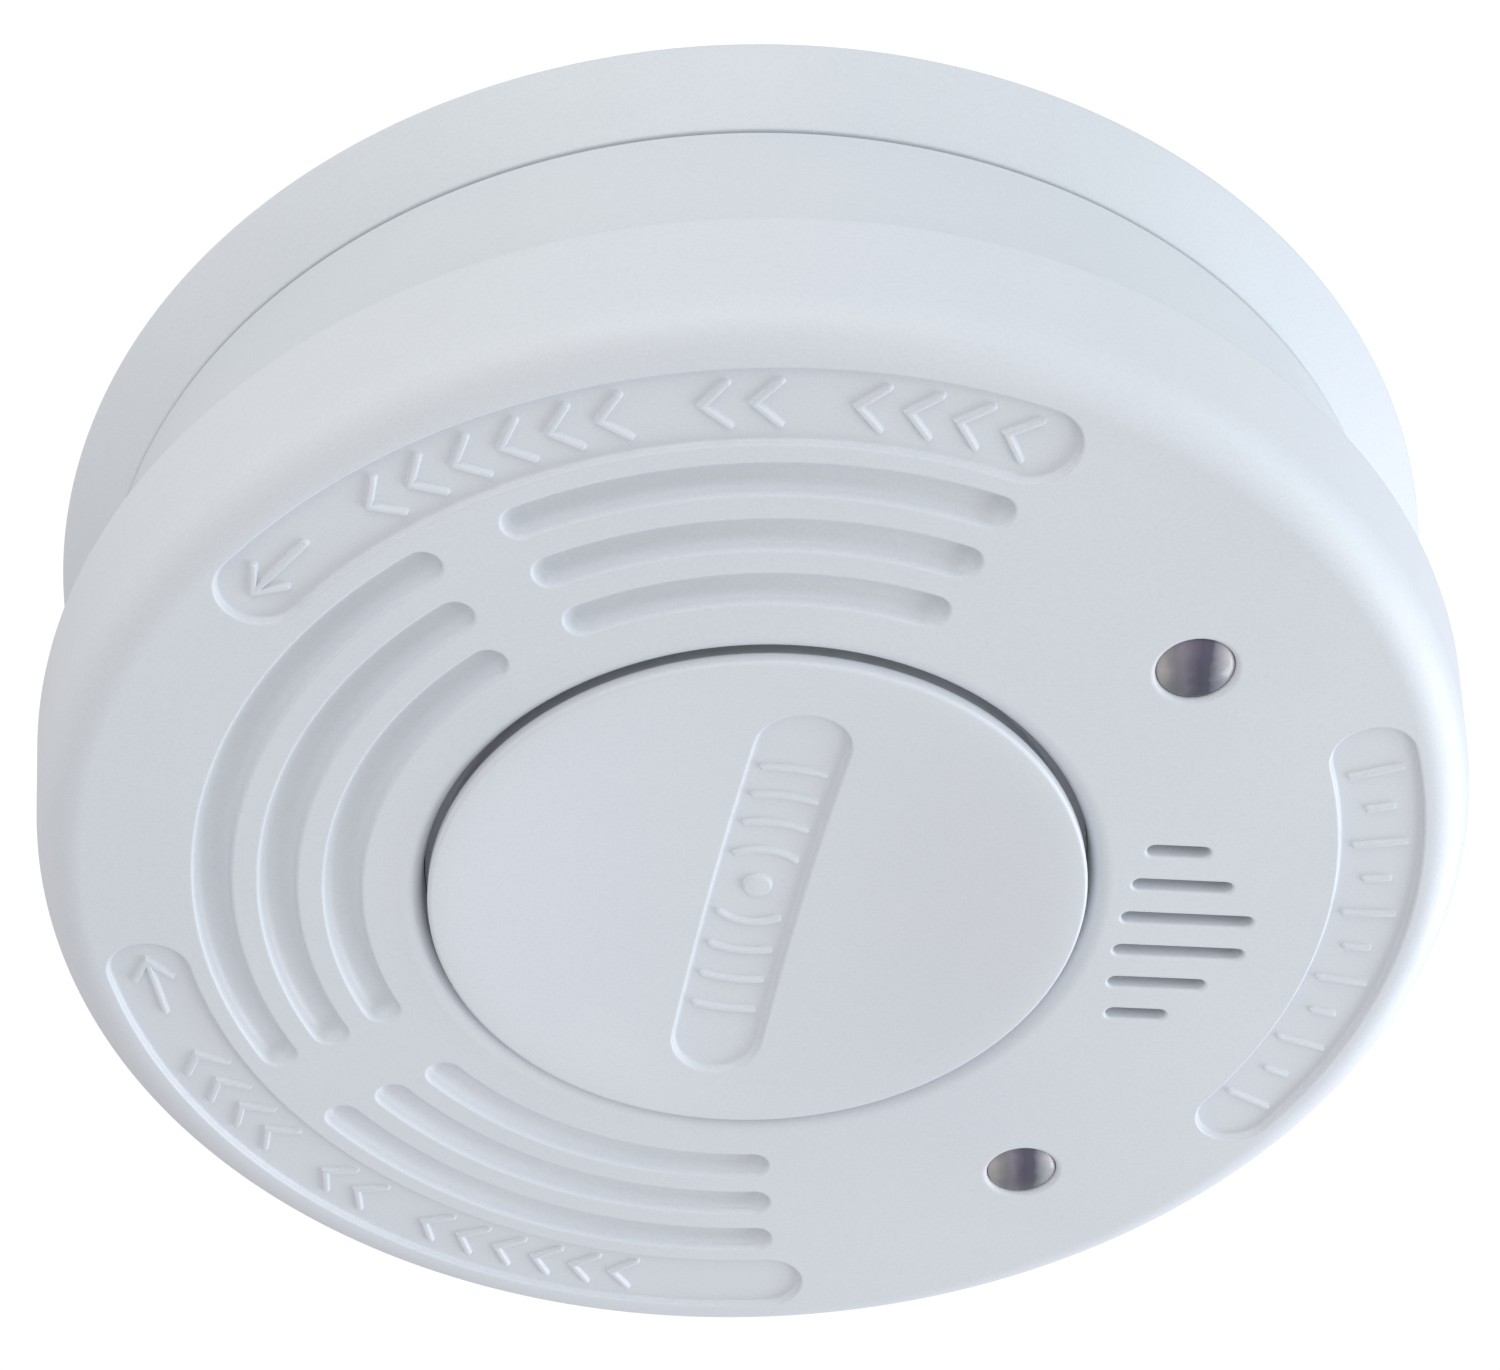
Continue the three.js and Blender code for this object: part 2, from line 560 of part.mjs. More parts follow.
function chamberBase() {
  const [cx, cy] = CHAMBER;
  const floor = disc(CHAMBER_R + 1.8, UNDER_BOARD - 2.2, UNDER_BOARD, 48).translate(cx, cy, 0);
  const holders = [EMITTER_ANGLE, RECEIVER_ANGLE].map((angle) => {
    const block = box(9.6, 17.4, -3.7, 3.7, VANE_Z[0] + GAP, UNDER_BOARD - 2);
    return block.rotate([0, 0, angle]).translate(cx, cy, 0);
  });
  const bores = [EMITTER_ANGLE, RECEIVER_ANGLE].flatMap((angle) => [
    inChamber(disc(2.5 + GAP, -9, 5.4, 16), angle, 14.6),
    inChamber(disc(2.9 + GAP, 0, 5.4, 16), angle, 15.6)]);
  return cut(join(floor, holders), bores);
}

// Cap with light-trapping vanes that stand up to the base.
function labyrinth() {
  const [cx, cy] = CHAMBER;
  const cap = disc(CHAMBER_R + 0.2, VANE_Z[0] - 1.2, VANE_Z[0], 40);
  const vanes = [];
  const count = 18;
  for (let i = 0; i < count; i += 1) {
    const angle = i * 360 / count;
    const away = (from) => Math.abs(((angle - from + 540) % 360) - 180);
    if (away(EMITTER_ANGLE) < 36 || away(RECEIVER_ANGLE) < 36) continue;
    const line = [polar(10.4, angle), polar(12.4, angle + 12), polar(14.6, angle + 1)];
    vanes.push(extrude(stroke(line, 0.8), VANE_Z[0] - 0.2, UNDER_BOARD - 2.2 - GAP));
  }
  return join(cap, vanes).translate(cx, cy, 0);
}

function insectScreen(from, to) {
  const [low, high] = [VANE_Z[0] + GAP, UNDER_BOARD - 2.2 - GAP];
  const wall = sector(CHAMBER_R + 0.1, CHAMBER_R + 0.5, from, to, low, high);
  const windows = [];
  const pitch = 12;
  const count = Math.floor((to - from - 4) / pitch);
  for (let i = 0; i < count; i += 1) {
    const angle = from + 2 + (to - from - 4) * (i + 0.5) / count;
    windows.push(box(14, 17, -1.2, 1.2, low + 0.8, high - 0.8).rotate([0, 0, angle]));
  }
  return cut(wall, windows).translate(CHAMBER[0], CHAMBER[1], 0);
}

function receiverShield() {
  const outer = box(18.6, 24.6, -3.6, 3.6, UNDER_BOARD - 6.4, UNDER_BOARD);
  const inner = box(18, 24.2, -3.2, 3.2, UNDER_BOARD - 6, UNDER_BOARD + 1);
  return cut(outer, inner).rotate([0, 0, RECEIVER_ANGLE]).translate(CHAMBER[0], CHAMBER[1], 0);
}

// ---------- assembly ----------
const { root, add } = pieces();

add('mounting_plate', mountingPlate(), FINISH.white);
add('rear_housing', rearHousing(), FINISH.white);
add('front_cover', frontCover(), FINISH.white);
add('test_button', testButton(), FINISH.white);

BOSS_ANGLES.forEach((angle, i) => {
  const [x, y] = polar(BOSS_R, angle);
  const body = screw(2.6, 1.6, 1.2, 14).rotate([180, 0, 0]).translate(x, y, HOUSING_Z - 0.4);
  add(`cover_screw_${i + 1}`, body, FINISH.steel);
});

add('circuit_board', circuitBoard(), FINISH.board);
BOARD_SCREWS.forEach(([x, y], i) => {
  const body = screw(2.2, 1.4, 1.1, 7).translate(x, y, UNDER_BOARD - 1.4);
  add(`board_screw_${i + 1}`, body, FINISH.steel);
});

add('chamber_base', chamberBase(), FINISH.black);
add('chamber_labyrinth', labyrinth(), FINISH.black);
add('insect_screen_left', insectScreen(EMITTER_ANGLE - 214, EMITTER_ANGLE - 16), FINISH.steel);
add('insect_screen_right', insectScreen(EMITTER_ANGLE + 16, RECEIVER_ANGLE - 16), FINISH.steel);
add('ir_emitter', inChamber(lamp(DOME, 1.4), EMITTER_ANGLE, 9.8), FINISH.clear);
add('photodiode', inChamber(lamp(DOME, 1.4), RECEIVER_ANGLE, 9.8), FINISH.tinted);
add('receiver_shield', receiverShield(), FINISH.steel);

const [sounderX, sounderY] = polar(SOUNDER_R, SOUNDER_ANGLE);
const discTop = UNDER_BOARD - 3.4 + 0.6;
add('sounder_housing', sounderHousing(), FINISH.inner);
add('piezo_disc', disc(9.3, UNDER_BOARD - 3.4 + GAP, discTop, 40).translate(sounderX, sounderY, 0),
  FINISH.brass);
add('piezo_ceramic', disc(6.6, discTop + GAP, discTop + GAP + 0.3, 32).translate(sounderX, sounderY, 0),
  FINISH.ceramic);
[[8.2, 60, discTop], [7.9, 180, discTop], [3, 300, discTop + GAP + 0.3]].forEach(([r, angle, z], i) => {
  const [x, y] = polar(r, angle);
  const post = disc(0.5, z + GAP, UNDER_BOARD, 8).translate(sounderX + x, sounderY + y, 0);
  add(`sounder_contact_${i + 1}`, post, FINISH.steel);
});

add('test_switch', testSwitch(), FINISH.black);
add('switch_plunger', disc(1.7, UNDER_BOARD - 4.5, UNDER_BOARD - 1.4 - BUTTON_TRAVEL, 16),
  FINISH.inner);
add('button_spring', spring(5.4, 0.5, FACE_Z + 3.2, UNDER_BOARD, 5), FINISH.steel);

add('lithium_cell', lithiumCell(), FINISH.wrap);
add('cell_tab_plus', cellTab(1), FINISH.steel);
add('cell_tab_minus', cellTab(-1), FINISH.steel);
add('power_pin', powerPin(), FINISH.inner);
const [pinX, pinY] = polar(PIN.radius, PIN.angle);
add('power_switch', join(box(-3, 3, -3, 3, BOARD_TOP + GAP, -10.2), disc(2, -10.4, -9.5, 16))
  .translate(pinX, pinY, 0), FINISH.black);

LED_PLACES.forEach(([r, angle], i) => {
  const [x, y] = polar(r, angle);
  const name = ['status_lamp', 'alarm_lamp'][i];
  add(name, lamp(CROWN, 6.6, FINE).translate(x, y, FACE_Z - LAMP_PROUD), FINISH.clear);
  const spacer = ring(1.9, 2.9, UNDER_BOARD - 4, UNDER_BOARD, 16);
  add(`lamp_spacer_${i + 1}`, spacer.translate(x, y, 0), FINISH.black);
});

add('microcontroller', chip().rotate([0, 0, 90]).translate(-9, 20, 0), FINISH.black);
add('sounder_inductor', inductor().translate(3, 27, 0), FINISH.copper);
add('capacitor', capacitor().translate(-3, 36, 0), FINISH.black);

export default root;
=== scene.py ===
"""Ceiling smoke detector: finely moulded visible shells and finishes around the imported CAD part.

Shapes are worked out in millimetres in the row frame (z = 0 at the ceiling, the face hangs down)
and scaled to metres when a piece is made.
"""

import math

import bmesh
import bpy
from mathutils import Matrix, Vector
from mathutils.geometry import delaunay_2d_cdt


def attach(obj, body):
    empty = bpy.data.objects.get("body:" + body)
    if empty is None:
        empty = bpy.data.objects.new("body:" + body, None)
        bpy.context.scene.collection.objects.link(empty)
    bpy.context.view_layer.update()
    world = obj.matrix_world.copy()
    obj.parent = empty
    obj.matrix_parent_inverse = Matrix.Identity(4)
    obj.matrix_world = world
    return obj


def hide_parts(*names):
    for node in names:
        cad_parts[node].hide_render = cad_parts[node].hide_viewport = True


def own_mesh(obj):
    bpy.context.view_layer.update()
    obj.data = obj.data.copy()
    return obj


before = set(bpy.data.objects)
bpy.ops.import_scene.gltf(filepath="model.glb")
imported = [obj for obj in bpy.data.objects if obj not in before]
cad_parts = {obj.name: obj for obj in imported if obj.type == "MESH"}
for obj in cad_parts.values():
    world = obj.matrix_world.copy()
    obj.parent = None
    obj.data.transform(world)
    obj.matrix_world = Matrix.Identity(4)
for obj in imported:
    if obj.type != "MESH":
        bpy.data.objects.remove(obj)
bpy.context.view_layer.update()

MM = 0.001
ROUND = 480                       # points around the large turned shapes

# ---------------------------------------------------------------- dimensions, as in the CAD
# Radii and heights in millimetres, angles in degrees about Z.
FACE_Z, RIM_Z, COVER_WALL, COLLAR_Z = -28.4, -18.8, 2.2, -24.9
FACE_R, EDGE_R, FLARE, RIM_R = 46.0, 3.2, 7.0, 50.0
HOLE_R, HOLE_BRINK, COLLAR_WALL = 23.0, 1.4, 1.5
PLATE_R, SEAM_R, PLATE_Z, WEB, SKIRT = 50.7, 47.0, -4.65, 2.0, 1.8
HOUSING_Z, HOUSING_RIM_Z, HOUSING_WALL = -5.0, -16.1, 1.8
GROOVE_RADII, GROOVE_W, GROOVE_DEPTH = (28.4, 32.8, 37.2), 2.5, 1.0
GROOVE_GROUPS = (((90.5, 147.5), (90.5, 148), (90.5, 148.5)),
                 ((159, 237), (158, 238.4), (157.4, 239.7)),
                 ((246.6, 297), (246.8, 297), (247, 297)))
PANEL_RADII, PANEL_DEPTH = (39.9, 45.6), 0.5
REMOVE_PANEL, TIGHTEN_PANEL, CARE_PANEL = (221.5, 299), (87.5, 178.5), (-18.5, 40)
MARK_W, MARK_R = 0.45, sum(PANEL_RADII) / 2
CHEVRON_GROUPS, CHEVRON_PITCH = (6, 2, 4), 4.2
LED_PLACES, LED_HOLE_R, LAMP_PROUD = ((35, -34), (36, 58.5)), 2.6, 0.2
SOUNDER_R, SOUNDER_ANGLE, SLOT_PITCH, SLOT_W, SLOT_TILT = 29.6, 10.7, 3.3, 1.1, -3
SLOTS = ((-2.5, 26, 30.4), (-1.5, 25.6, 32.6), (-0.5, 25.4, 34.7),
         (0.5, 25.4, 34.7), (1.5, 25.6, 32.6), (2.5, 26, 30.4))     # pitches aside, start, end
BUTTON_R, BUTTON_PROUD, BUTTON_DISH, BUTTON_TOP = 22.65, 0.5, 1.8, -24.5
BADGE = {"length": 35.6, "width": 6.4, "angle": 103.7, "depth": 0.45}
LUG_ANGLES, LUG_TOP = (50, 140, 222, 318), -23.8       # snap lugs that keep the button in
SCREW_R, SLOT_HALF, KEYHOLE_R = 30.0, 2.3, 4.6         # ceiling screws and their openings
BOSS_R, BOSS_ANGLES = 41.0, (75, 195, 315)             # cover screws
BAYONET_ANGLES = (45, 135, 225, 315)
LIP_Z, LEDGE_Z = (-3.05, -2.3), (-4.35, -3.35)         # the housing's lips rest above the plate's ledges
PIN_R, PIN_ANGLE, PIN_HOLE_R = 30.0, 45, 1.8           # power pin
RAMP_ANGLES, RAMP_HALF, RAMP_DEPTH = (24.1, 42.4), 2.3, 0.95
RAMP_FOOT, RAMP_RUN = 44.2, 14.3                       # where the slope starts, and how far it goes on


# ---------------------------------------------------------------- plane geometry
def polar(r, degrees, centre=(0, 0)):
    a = math.radians(degrees)
    return (centre[0] + r * math.cos(a), centre[1] + r * math.sin(a))


def arc(centre, r, start, end, steps):
    return [polar(r, start + (end - start) * i / steps, centre) for i in range(steps + 1)]


def circle(r, count=ROUND, centre=(0, 0)):
    return [polar(r, 360 * i / count, centre) for i in range(count)]


def band(inner, outer, start, end, grow, step=0.55, cap_steps=14):
    """A round-ended band along a circle about Z that reaches from angle start to end, grown."""
    half, middle = (outer - inner) / 2, (outer + inner) / 2
    cap = math.degrees(half / middle)
    a, b = start + cap, end - cap
    half += grow
    steps = max(4, round(math.radians(b - a) * middle / step))
    outside = arc((0, 0), middle + half, a, b, steps)
    inside = arc((0, 0), middle - half, b, a, steps)
    far = arc(polar(middle, b), half, b, b + 180, cap_steps)[1:-1]
    near = arc(polar(middle, a), half, a + 180, a + 360, cap_steps)[1:-1]
    return outside + far + inside + near


def sector(inner, outer, middle, half, steps):
    """A square-ended band along a circle about Z, half an angle to both sides of its middle."""
    return (arc((0, 0), outer, middle - half, middle + half, steps)
            + arc((0, 0), inner, middle + half, middle - half, steps))


def stadium(length, width, angle, grow, centre=(0, 0), step=0.6, cap_steps=14):
    """A round-ended straight slot, grown."""
    reach, half = (length - width) / 2, width / 2 + grow
    steps = max(3, round(2 * reach / step))
    a, b = polar(reach, angle, centre), polar(-reach, angle, centre)
    ends = (arc(a, half, angle - 90, angle + 90, cap_steps),
            arc(b, half, angle + 90, angle + 270, cap_steps))
    points = []
    for this, following in (ends, ends[::-1]):
        points += this
        p, q = this[-1], following[0]
        points += [(p[0] + (q[0] - p[0]) * i / steps, p[1] + (q[1] - p[1]) * i / steps)
                   for i in range(1, steps)]
    return points


def keyhole(side, grow):
    """A round entry with a narrower slot that runs on along the screw circle."""
    entry, half, run = KEYHOLE_R + grow, SLOT_HALF + grow, 16

    def meet(r):
        cosine = (r * r + SCREW_R ** 2 - entry ** 2) / (2 * SCREW_R * r)
        return math.degrees(math.acos(cosine))

    centre, end = polar(SCREW_R, side), side + run
    outer, inner = SCREW_R + half, SCREW_R - half
    first, last = side + meet(outer), side + meet(inner)
    points = arc((0, 0), outer, first, end, 12)
    points += arc(polar(SCREW_R, end), half, end, end + 180, 14)[1:-1]
    points += arc((0, 0), inner, end, last, 12)
    start = math.degrees(math.atan2(points[-1][1] - centre[1], points[-1][0] - centre[0]))
    stop = math.degrees(math.atan2(points[0][1] - centre[1], points[0][0] - centre[0]))
    return points + arc(centre, entry, start, start + (stop - start) % 360, 36)[1:-1]


def stroke(points, half):
    """Outline of a round-ended stroke of even width along a bent line, with mitred bends."""
    def side(line):
        made = []
        for i, (x, y) in enumerate(line):
            before = Vector((x - line[i - 1][0], y - line[i - 1][1])) if i else None
            after = Vector((line[i + 1][0] - x, line[i + 1][1] - y)) if i + 1 < len(line) else None
            u = (before or after).normalized()
            v = (after or before).normalized()
            along = (u + v).normalized()
            reach = half / max(along.dot(v), 0.3)
            made.append((x + along.y * reach, y - along.x * reach))
        return made

    right, left = side(points), side(points[::-1])
    caps = []
    for line in (points, points[::-1]):
        (ax, ay), (bx, by) = line[-2], line[-1]
        facing = math.degrees(math.atan2(by - ay, bx - ax))
        caps.append(arc((bx, by), half, facing - 90, facing + 90, 8)[1:-1])
    return right + caps[0] + left + caps[1]


def on_panel(points, angle):
    """Points drawn about (0, 0), x along the panel and y across it, set on the panel's circle."""
    cx, cy = polar(MARK_R, angle)
    (ux, uy), (vx, vy) = polar(1, angle + 90), polar(1, angle)
    return [(cx + ux * x + vx * y, cy + uy * x + vy * y) for x, y in points]


# ---------------------------------------------------------------- edge sections
SUPPORT = 0.12                    # flat strip kept beside a rounded edge, which keeps its shading clean


def recess(depth, top, bottom, draft=0.05, steps=5, support=SUPPORT):
    """(growth, depth) pairs from the flat outside, over a rounded lip and down to a rounded floor."""
    rows = [(top + support, 0.0)]
    rows += [(top * (1 - math.sin(a)), top * (1 - math.cos(a)))
             for a in (math.pi / 2 * i / steps for i in range(steps + 1))]
    rows += [(-draft - bottom * (1 - math.cos(a)), depth - bottom * (1 - math.sin(a)))
             for a in (math.pi / 2 * i / steps for i in range(steps + 1))]
    rows.append((-draft - bottom - support, depth))
    return rows


def lip(top, steps=5, support=SUPPORT):
    """The rounded lip alone, for an opening whose wall goes straight on."""
    return recess(top * 2, top, top * 0.5, steps=steps, support=support)[:steps + 2]


# A raised mark's side, from just under the panel's floor to its rounded top.
MARK_SECTION = ((0.14, -0.06), (0.07, 0.01), (0.02, 0.05), (0.0, 0.11), (-0.015, 0.18),
                (-0.04, 0.235), (-0.085, 0.27), (-0.14, 0.28))


# ---------------------------------------------------------------- skins
class Skin:
    """Vertices and faces of one piece, in millimetres."""

    def __init__(self):
        self.points, self.faces = [], []

    def loop(self, outline, z):
        """Adds an outline at a height, or at a height that depends on the place."""
        start = len(self.points)
        height = z if callable(z) else (lambda x, y: z)
        self.points += [(x, y, height(x, y)) for x, y in outline]
        return list(range(start, len(self.points)))

    def wall(self, a, b):
        """Joins two rings that have the same number of points."""
        n = len(a)
        self.faces += [(a[i], a[(i + 1) % n], b[(i + 1) % n], b[i]) for i in range(n)]

    def stack(self, outline, rows, z, sign=1):
        """A wall of rings from an outline(growth) and (growth, depth) rows. Returns both ends."""
        rings = []
        for grow, depth in rows:
            height = (lambda x, y, d=depth: z(x, y) + sign * d) if callable(z) else z + sign * depth
            rings.append(self.loop(outline(grow), height))
        for a, b in zip(rings, rings[1:]):
            self.wall(a, b)
        return rings[0], rings[-1]

    def turned(self, rows, count=ROUND, centre=(0, 0)):
        """A turned wall about Z from (radius, z) rows. Returns its first and last rings."""
        rings = [self.loop(circle(r, count, centre), z) for r, z in rows]
        for a, b in zip(rings, rings[1:]):
            self.wall(a, b)
        return rings[0], rings[-1]

    def opening(self, outline, rows, z, far_z, sign=1):
        """A hole with a rounded lip at z that goes on to far_z. Returns both ends."""
        first, last = self.stack(outline, rows, z, sign)
        far = self.loop(outline(0), far_z)
        self.wall(last, far)
        return first, far

    def hollow(self, outline, rows, z, sign=1):
        """A blind hollow with a flat floor. Returns the ring around its mouth."""
        mouth, floor = self.stack(outline, rows, z, sign)
        self.faces.append(tuple(floor))
        return mouth

    def sheet(self, rings, openings=None, loose=(), bulge=0):
        """Fills the first ring. The others stay open, and loose points fill the sheet out.

        A small bulge keeps straight runs of points from lining up while a curved sheet is filled.
        """
        openings = rings[1:] if openings is None else openings
        ids = [i for ring in rings for i in ring] + list(loose)
        where = {v: k for k, v in enumerate(ids)}
        edges = [(where[ring[i - 1]], where[v]) for ring in rings for i, v in enumerate(ring)]
        flat = [Vector(self.points[i][:2]) for i in ids]
        flat = [p * (1 - bulge * p.length_squared) for p in flat]
        _, _, tris, origin, _, _ = delaunay_2d_cdt(flat, edges, [], 0, 1e-6, True)
        spots = {v: (k, i) for k, ring in enumerate(openings) for i, v in enumerate(ring)}
        for tri in tris:
            corners = [ids[origin[i][0]] for i in tri]
            (p, a), (q, b), (r, c) = (spots.get(v, (-1, 0)) for v in corners)
            if p == q == r >= 0 and (a < b) + (b < c) + (c < a) == 2:
                continue              # it runs the same way round as the opening, so it is inside
            self.faces.append(tuple(corners))

    def prism(self, outline, low, high):
        """A plain upright block."""
        a, b = self.loop(outline, low), self.loop(outline, high)
        self.wall(a, b)
        self.faces += [tuple(a[::-1]), tuple(b)]

    def raised(self, outline, rows, floor):
        """A raised mark: its rings climb from the floor, towards the viewer, to a flat top."""
        first, last = self.stack(outline, rows, floor, -1)
        self.faces += [tuple(first), tuple(last)]

    def piece(self, name, body, node, finish, slot):
        """Makes the object, which rides on its body and stands in for its CAD node."""
        mesh = bpy.data.meshes.new(name)
        mesh.from_pydata([(x * MM, y * MM, z * MM) for x, y, z in self.points], [], self.faces)
        bm = bmesh.new()
        bm.from_mesh(mesh)
        loose = [v for v in bm.verts if not v.link_faces]
        bmesh.ops.delete(bm, geom=loose, context="VERTS")
        bmesh.ops.recalc_face_normals(bm, faces=bm.faces)
        bm.to_mesh(mesh)
        bm.free()
        mesh.shade_smooth()
        mesh.set_sharp_from_angle(angle=math.radians(50))
        piece = bpy.data.objects.new(name, mesh)
        bpy.context.scene.collection.objects.link(piece)
        mesh.materials.append(finish)
        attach(piece, body)
        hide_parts(node)
        return piece


def rounded(rows, steps=4):
    """(radius, z, rounding) rows with each marked corner rounded off."""
    made = []
    for i, row in enumerate(rows):
        corner, size = Vector(row[:2]), row[2] if len(row) > 2 else 0
        if not size or i in (0, len(rows) - 1):
            made.append(tuple(corner))
            continue
        u = (Vector(rows[i - 1][:2]) - corner).normalized()
        v = (Vector(rows[i + 1][:2]) - corner).normalized()
        for k in range(steps + 1):
            t = k / steps
            made.append(tuple(corner + u * size * (1 - t) ** 2 + v * size * t ** 2))
    return made


# ---------------------------------------------------------------- finishes
def nodes_of(name):
    """A new material, its node tree and its shader."""
    material = bpy.data.materials.new(name)
    material.use_nodes = True
    tree = material.node_tree
    shader = tree.nodes["Principled BSDF"]
    return material, tree, shader


def link(tree, source, target):
    tree.links.new(source, target)


def noise(tree, scale, detail=4, roughness=0.55, stretch=None):
    """Noise over the piece's own coordinates, in metres."""
    place = tree.nodes.new("ShaderNodeTexCoord")
    texture = tree.nodes.new("ShaderNodeTexNoise")
    texture.inputs["Scale"].default_value = scale
    texture.inputs["Detail"].default_value = detail
    texture.inputs["Roughness"].default_value = roughness
    source = place.outputs["Object"]
    if stretch:
        mapping = tree.nodes.new("ShaderNodeMapping")
        mapping.inputs["Scale"].default_value = stretch
        link(tree, source, mapping.inputs["Vector"])
        source = mapping.outputs["Vector"]
    link(tree, source, texture.inputs["Vector"])
    return texture.outputs["Fac"]


def ramp(tree, source, low, high, start=0.3, end=0.7):
    """Maps start..end to low..high."""
    node = tree.nodes.new("ShaderNodeMapRange")
    node.inputs["From Min"].default_value = start
    node.inputs["From Max"].default_value = end
    node.inputs["To Min"].default_value = low
    node.inputs["To Max"].default_value = high
    link(tree, source, node.inputs["Value"])
    return node.outputs["Result"]


def tint(tree, factor, a, b):
    """A colour between a and b."""
    node = tree.nodes.new("ShaderNodeMix")
    node.data_type = "RGBA"
    node.inputs["A"].default_value = (*a, 1)
    node.inputs["B"].default_value = (*b, 1)
    link(tree, factor, node.inputs["Factor"])
    return node.outputs["Result"]


def multiply(tree, a, b):
    """One colour times another."""
    node = tree.nodes.new("ShaderNodeMix")
    node.data_type, node.blend_type = "RGBA", "MULTIPLY"
    node.inputs["Factor"].default_value = 1
    link(tree, a, node.inputs["A"])
    link(tree, b, node.inputs["B"])
    return node.outputs["Result"]


def bump(tree, shader, layers):
    """Stacks bump layers of (height output, strength, distance in metres)."""
    last = None
    for height, strength, distance in layers:
        node = tree.nodes.new("ShaderNodeBump")
        node.inputs["Strength"].default_value = strength
        node.inputs["Distance"].default_value = distance
        link(tree, height, node.inputs["Height"])
        if last:
            link(tree, last, node.inputs["Normal"])
        last = node.outputs["Normal"]
    link(tree, last, shader.inputs["Normal"])


def moulded(name, light, dark, rough, grain=0.35, speckle=2600, specular=0.5):
    """Moulded plastic: fine spark-eroded grain, soft sink marks and a little uneven gloss."""
    material, tree, shader = nodes_of(name)
    fine, broad = noise(tree, speckle, 3, 0.6), noise(tree, 45, 3)
    patch = tint(tree, ramp(tree, broad, 0, 1, 0.35, 0.65), light, dark)
    flecks = ramp(tree, noise(tree, 5200, 2, 0.5), 0, 1, 0.3, 0.6)
    speckled = multiply(tree, patch, tint(tree, flecks, (0.955, 0.957, 0.962), (1, 1, 1)))
    link(tree, speckled, shader.inputs["Base Color"])
    link(tree, ramp(tree, noise(tree, 320, 4), rough - 0.05, rough + 0.06),
         shader.inputs["Roughness"])
    shader.inputs["Specular IOR Level"].default_value = specular
    bump(tree, shader, [(broad, 0.12, 0.0004), (fine, grain, 0.00003)])
    return material


def metal(name, light, dark, rough, stretch=(1, 1, 40)):
    """Drawn or rolled metal, with fine lines across the axis that has the largest stretch."""
    material, tree, shader = nodes_of(name)
    lines = noise(tree, 900, 5, 0.6, stretch)
    link(tree, tint(tree, ramp(tree, noise(tree, 180, 4), 0, 1), light, dark),
         shader.inputs["Base Color"])
    link(tree, ramp(tree, lines, rough - 0.08, rough + 0.1), shader.inputs["Roughness"])
    shader.inputs["Metallic"].default_value = 1
    bump(tree, shader, [(lines, 0.2, 0.00003)])
    return material


def lens(name, light, dark, transmission):
    """Cast epoxy lamp body with faint flow marks."""
    material, tree, shader = nodes_of(name)
    link(tree, tint(tree, ramp(tree, noise(tree, 260, 3), 0, 1), light, dark),
         shader.inputs["Base Color"])
    link(tree, ramp(tree, noise(tree, 900, 3), 0.06, 0.16), shader.inputs["Roughness"])
    shader.inputs["Transmission Weight"].default_value = transmission
    shader.inputs["IOR"].default_value = 1.5
    shader.inputs["Coat Weight"].default_value = 0.6
    bump(tree, shader, [(noise(tree, 500, 2), 0.15, 0.00005)])
    return material


# Colours across a lamp: a pale painted reflection on the left, the dark chip and frame, a pale painted
# reflection on the right.
LAMP_CHIP_AND_REFLECTION_STOPS = (
    (0.2, (0.48, 0.46, 0.43)), (0.27, (0.39, 0.375, 0.355)), (0.33, (0.28, 0.275, 0.27)),
    (0.41, (0.21, 0.205, 0.225)), (0.48, (0.21, 0.2, 0.23)), (0.56, (0.13, 0.118, 0.155)),
    (0.64, (0.08, 0.075, 0.11)), (0.76, (0.08, 0.08, 0.115)), (0.83, (0.23, 0.235, 0.265)),
    (0.9, (0.38, 0.39, 0.4)), (0.96, (0.52, 0.53, 0.52)), (1.0, (0.58, 0.58, 0.57)))


def lamp_lens():
    """Lamp crown over its dark cup, with painted reflections as pale bands at the left and right, and
    painted shade that darkens it from the near side to the far side.
    """
    material, tree, shader = nodes_of("lamp_epoxy")
    place, split = tree.nodes.new("ShaderNodeTexCoord"), tree.nodes.new("ShaderNodeSeparateXYZ")
    link(tree, place.outputs["Generated"], split.inputs["Vector"])
    drift = tree.nodes.new("ShaderNodeMath")
    drift.operation = "MULTIPLY_ADD"
    link(tree, noise(tree, 420, 4), drift.inputs[0])
    drift.inputs[1].default_value = 0.22
    link(tree, split.outputs["X"], drift.inputs[2])
    # Painted reflections: the pale bands at the left and right are painted in, the dark middle is the
    # chip and frame.
    across = tree.nodes.new("ShaderNodeValToRGB")
    across.color_ramp.elements.remove(across.color_ramp.elements[1])
    for at, colour in LAMP_CHIP_AND_REFLECTION_STOPS:
        stop = across.color_ramp.elements.new(at)
        stop.color = (*colour, 1)
    across.color_ramp.elements.remove(across.color_ramp.elements[0])
    link(tree, drift.outputs["Value"], across.inputs["Fac"])
    fall = ramp(tree, split.outputs["Y"], 0, 1, 0.1, 0.9)
    # Painted shade: the lamp is painted lighter on the near side and darker on the far side.
    painted_falloff = tint(tree, fall, (1.3, 1.22, 1.28), (0.62, 0.66, 0.7))
    shaded = multiply(tree, across.outputs["Color"], painted_falloff)
    link(tree, shaded, shader.inputs["Base Color"])
    link(tree, ramp(tree, noise(tree, 900, 3), 0.12, 0.24), shader.inputs["Roughness"])
    bump(tree, shader, [(noise(tree, 600, 2), 0.12, 0.00005)])
    return material


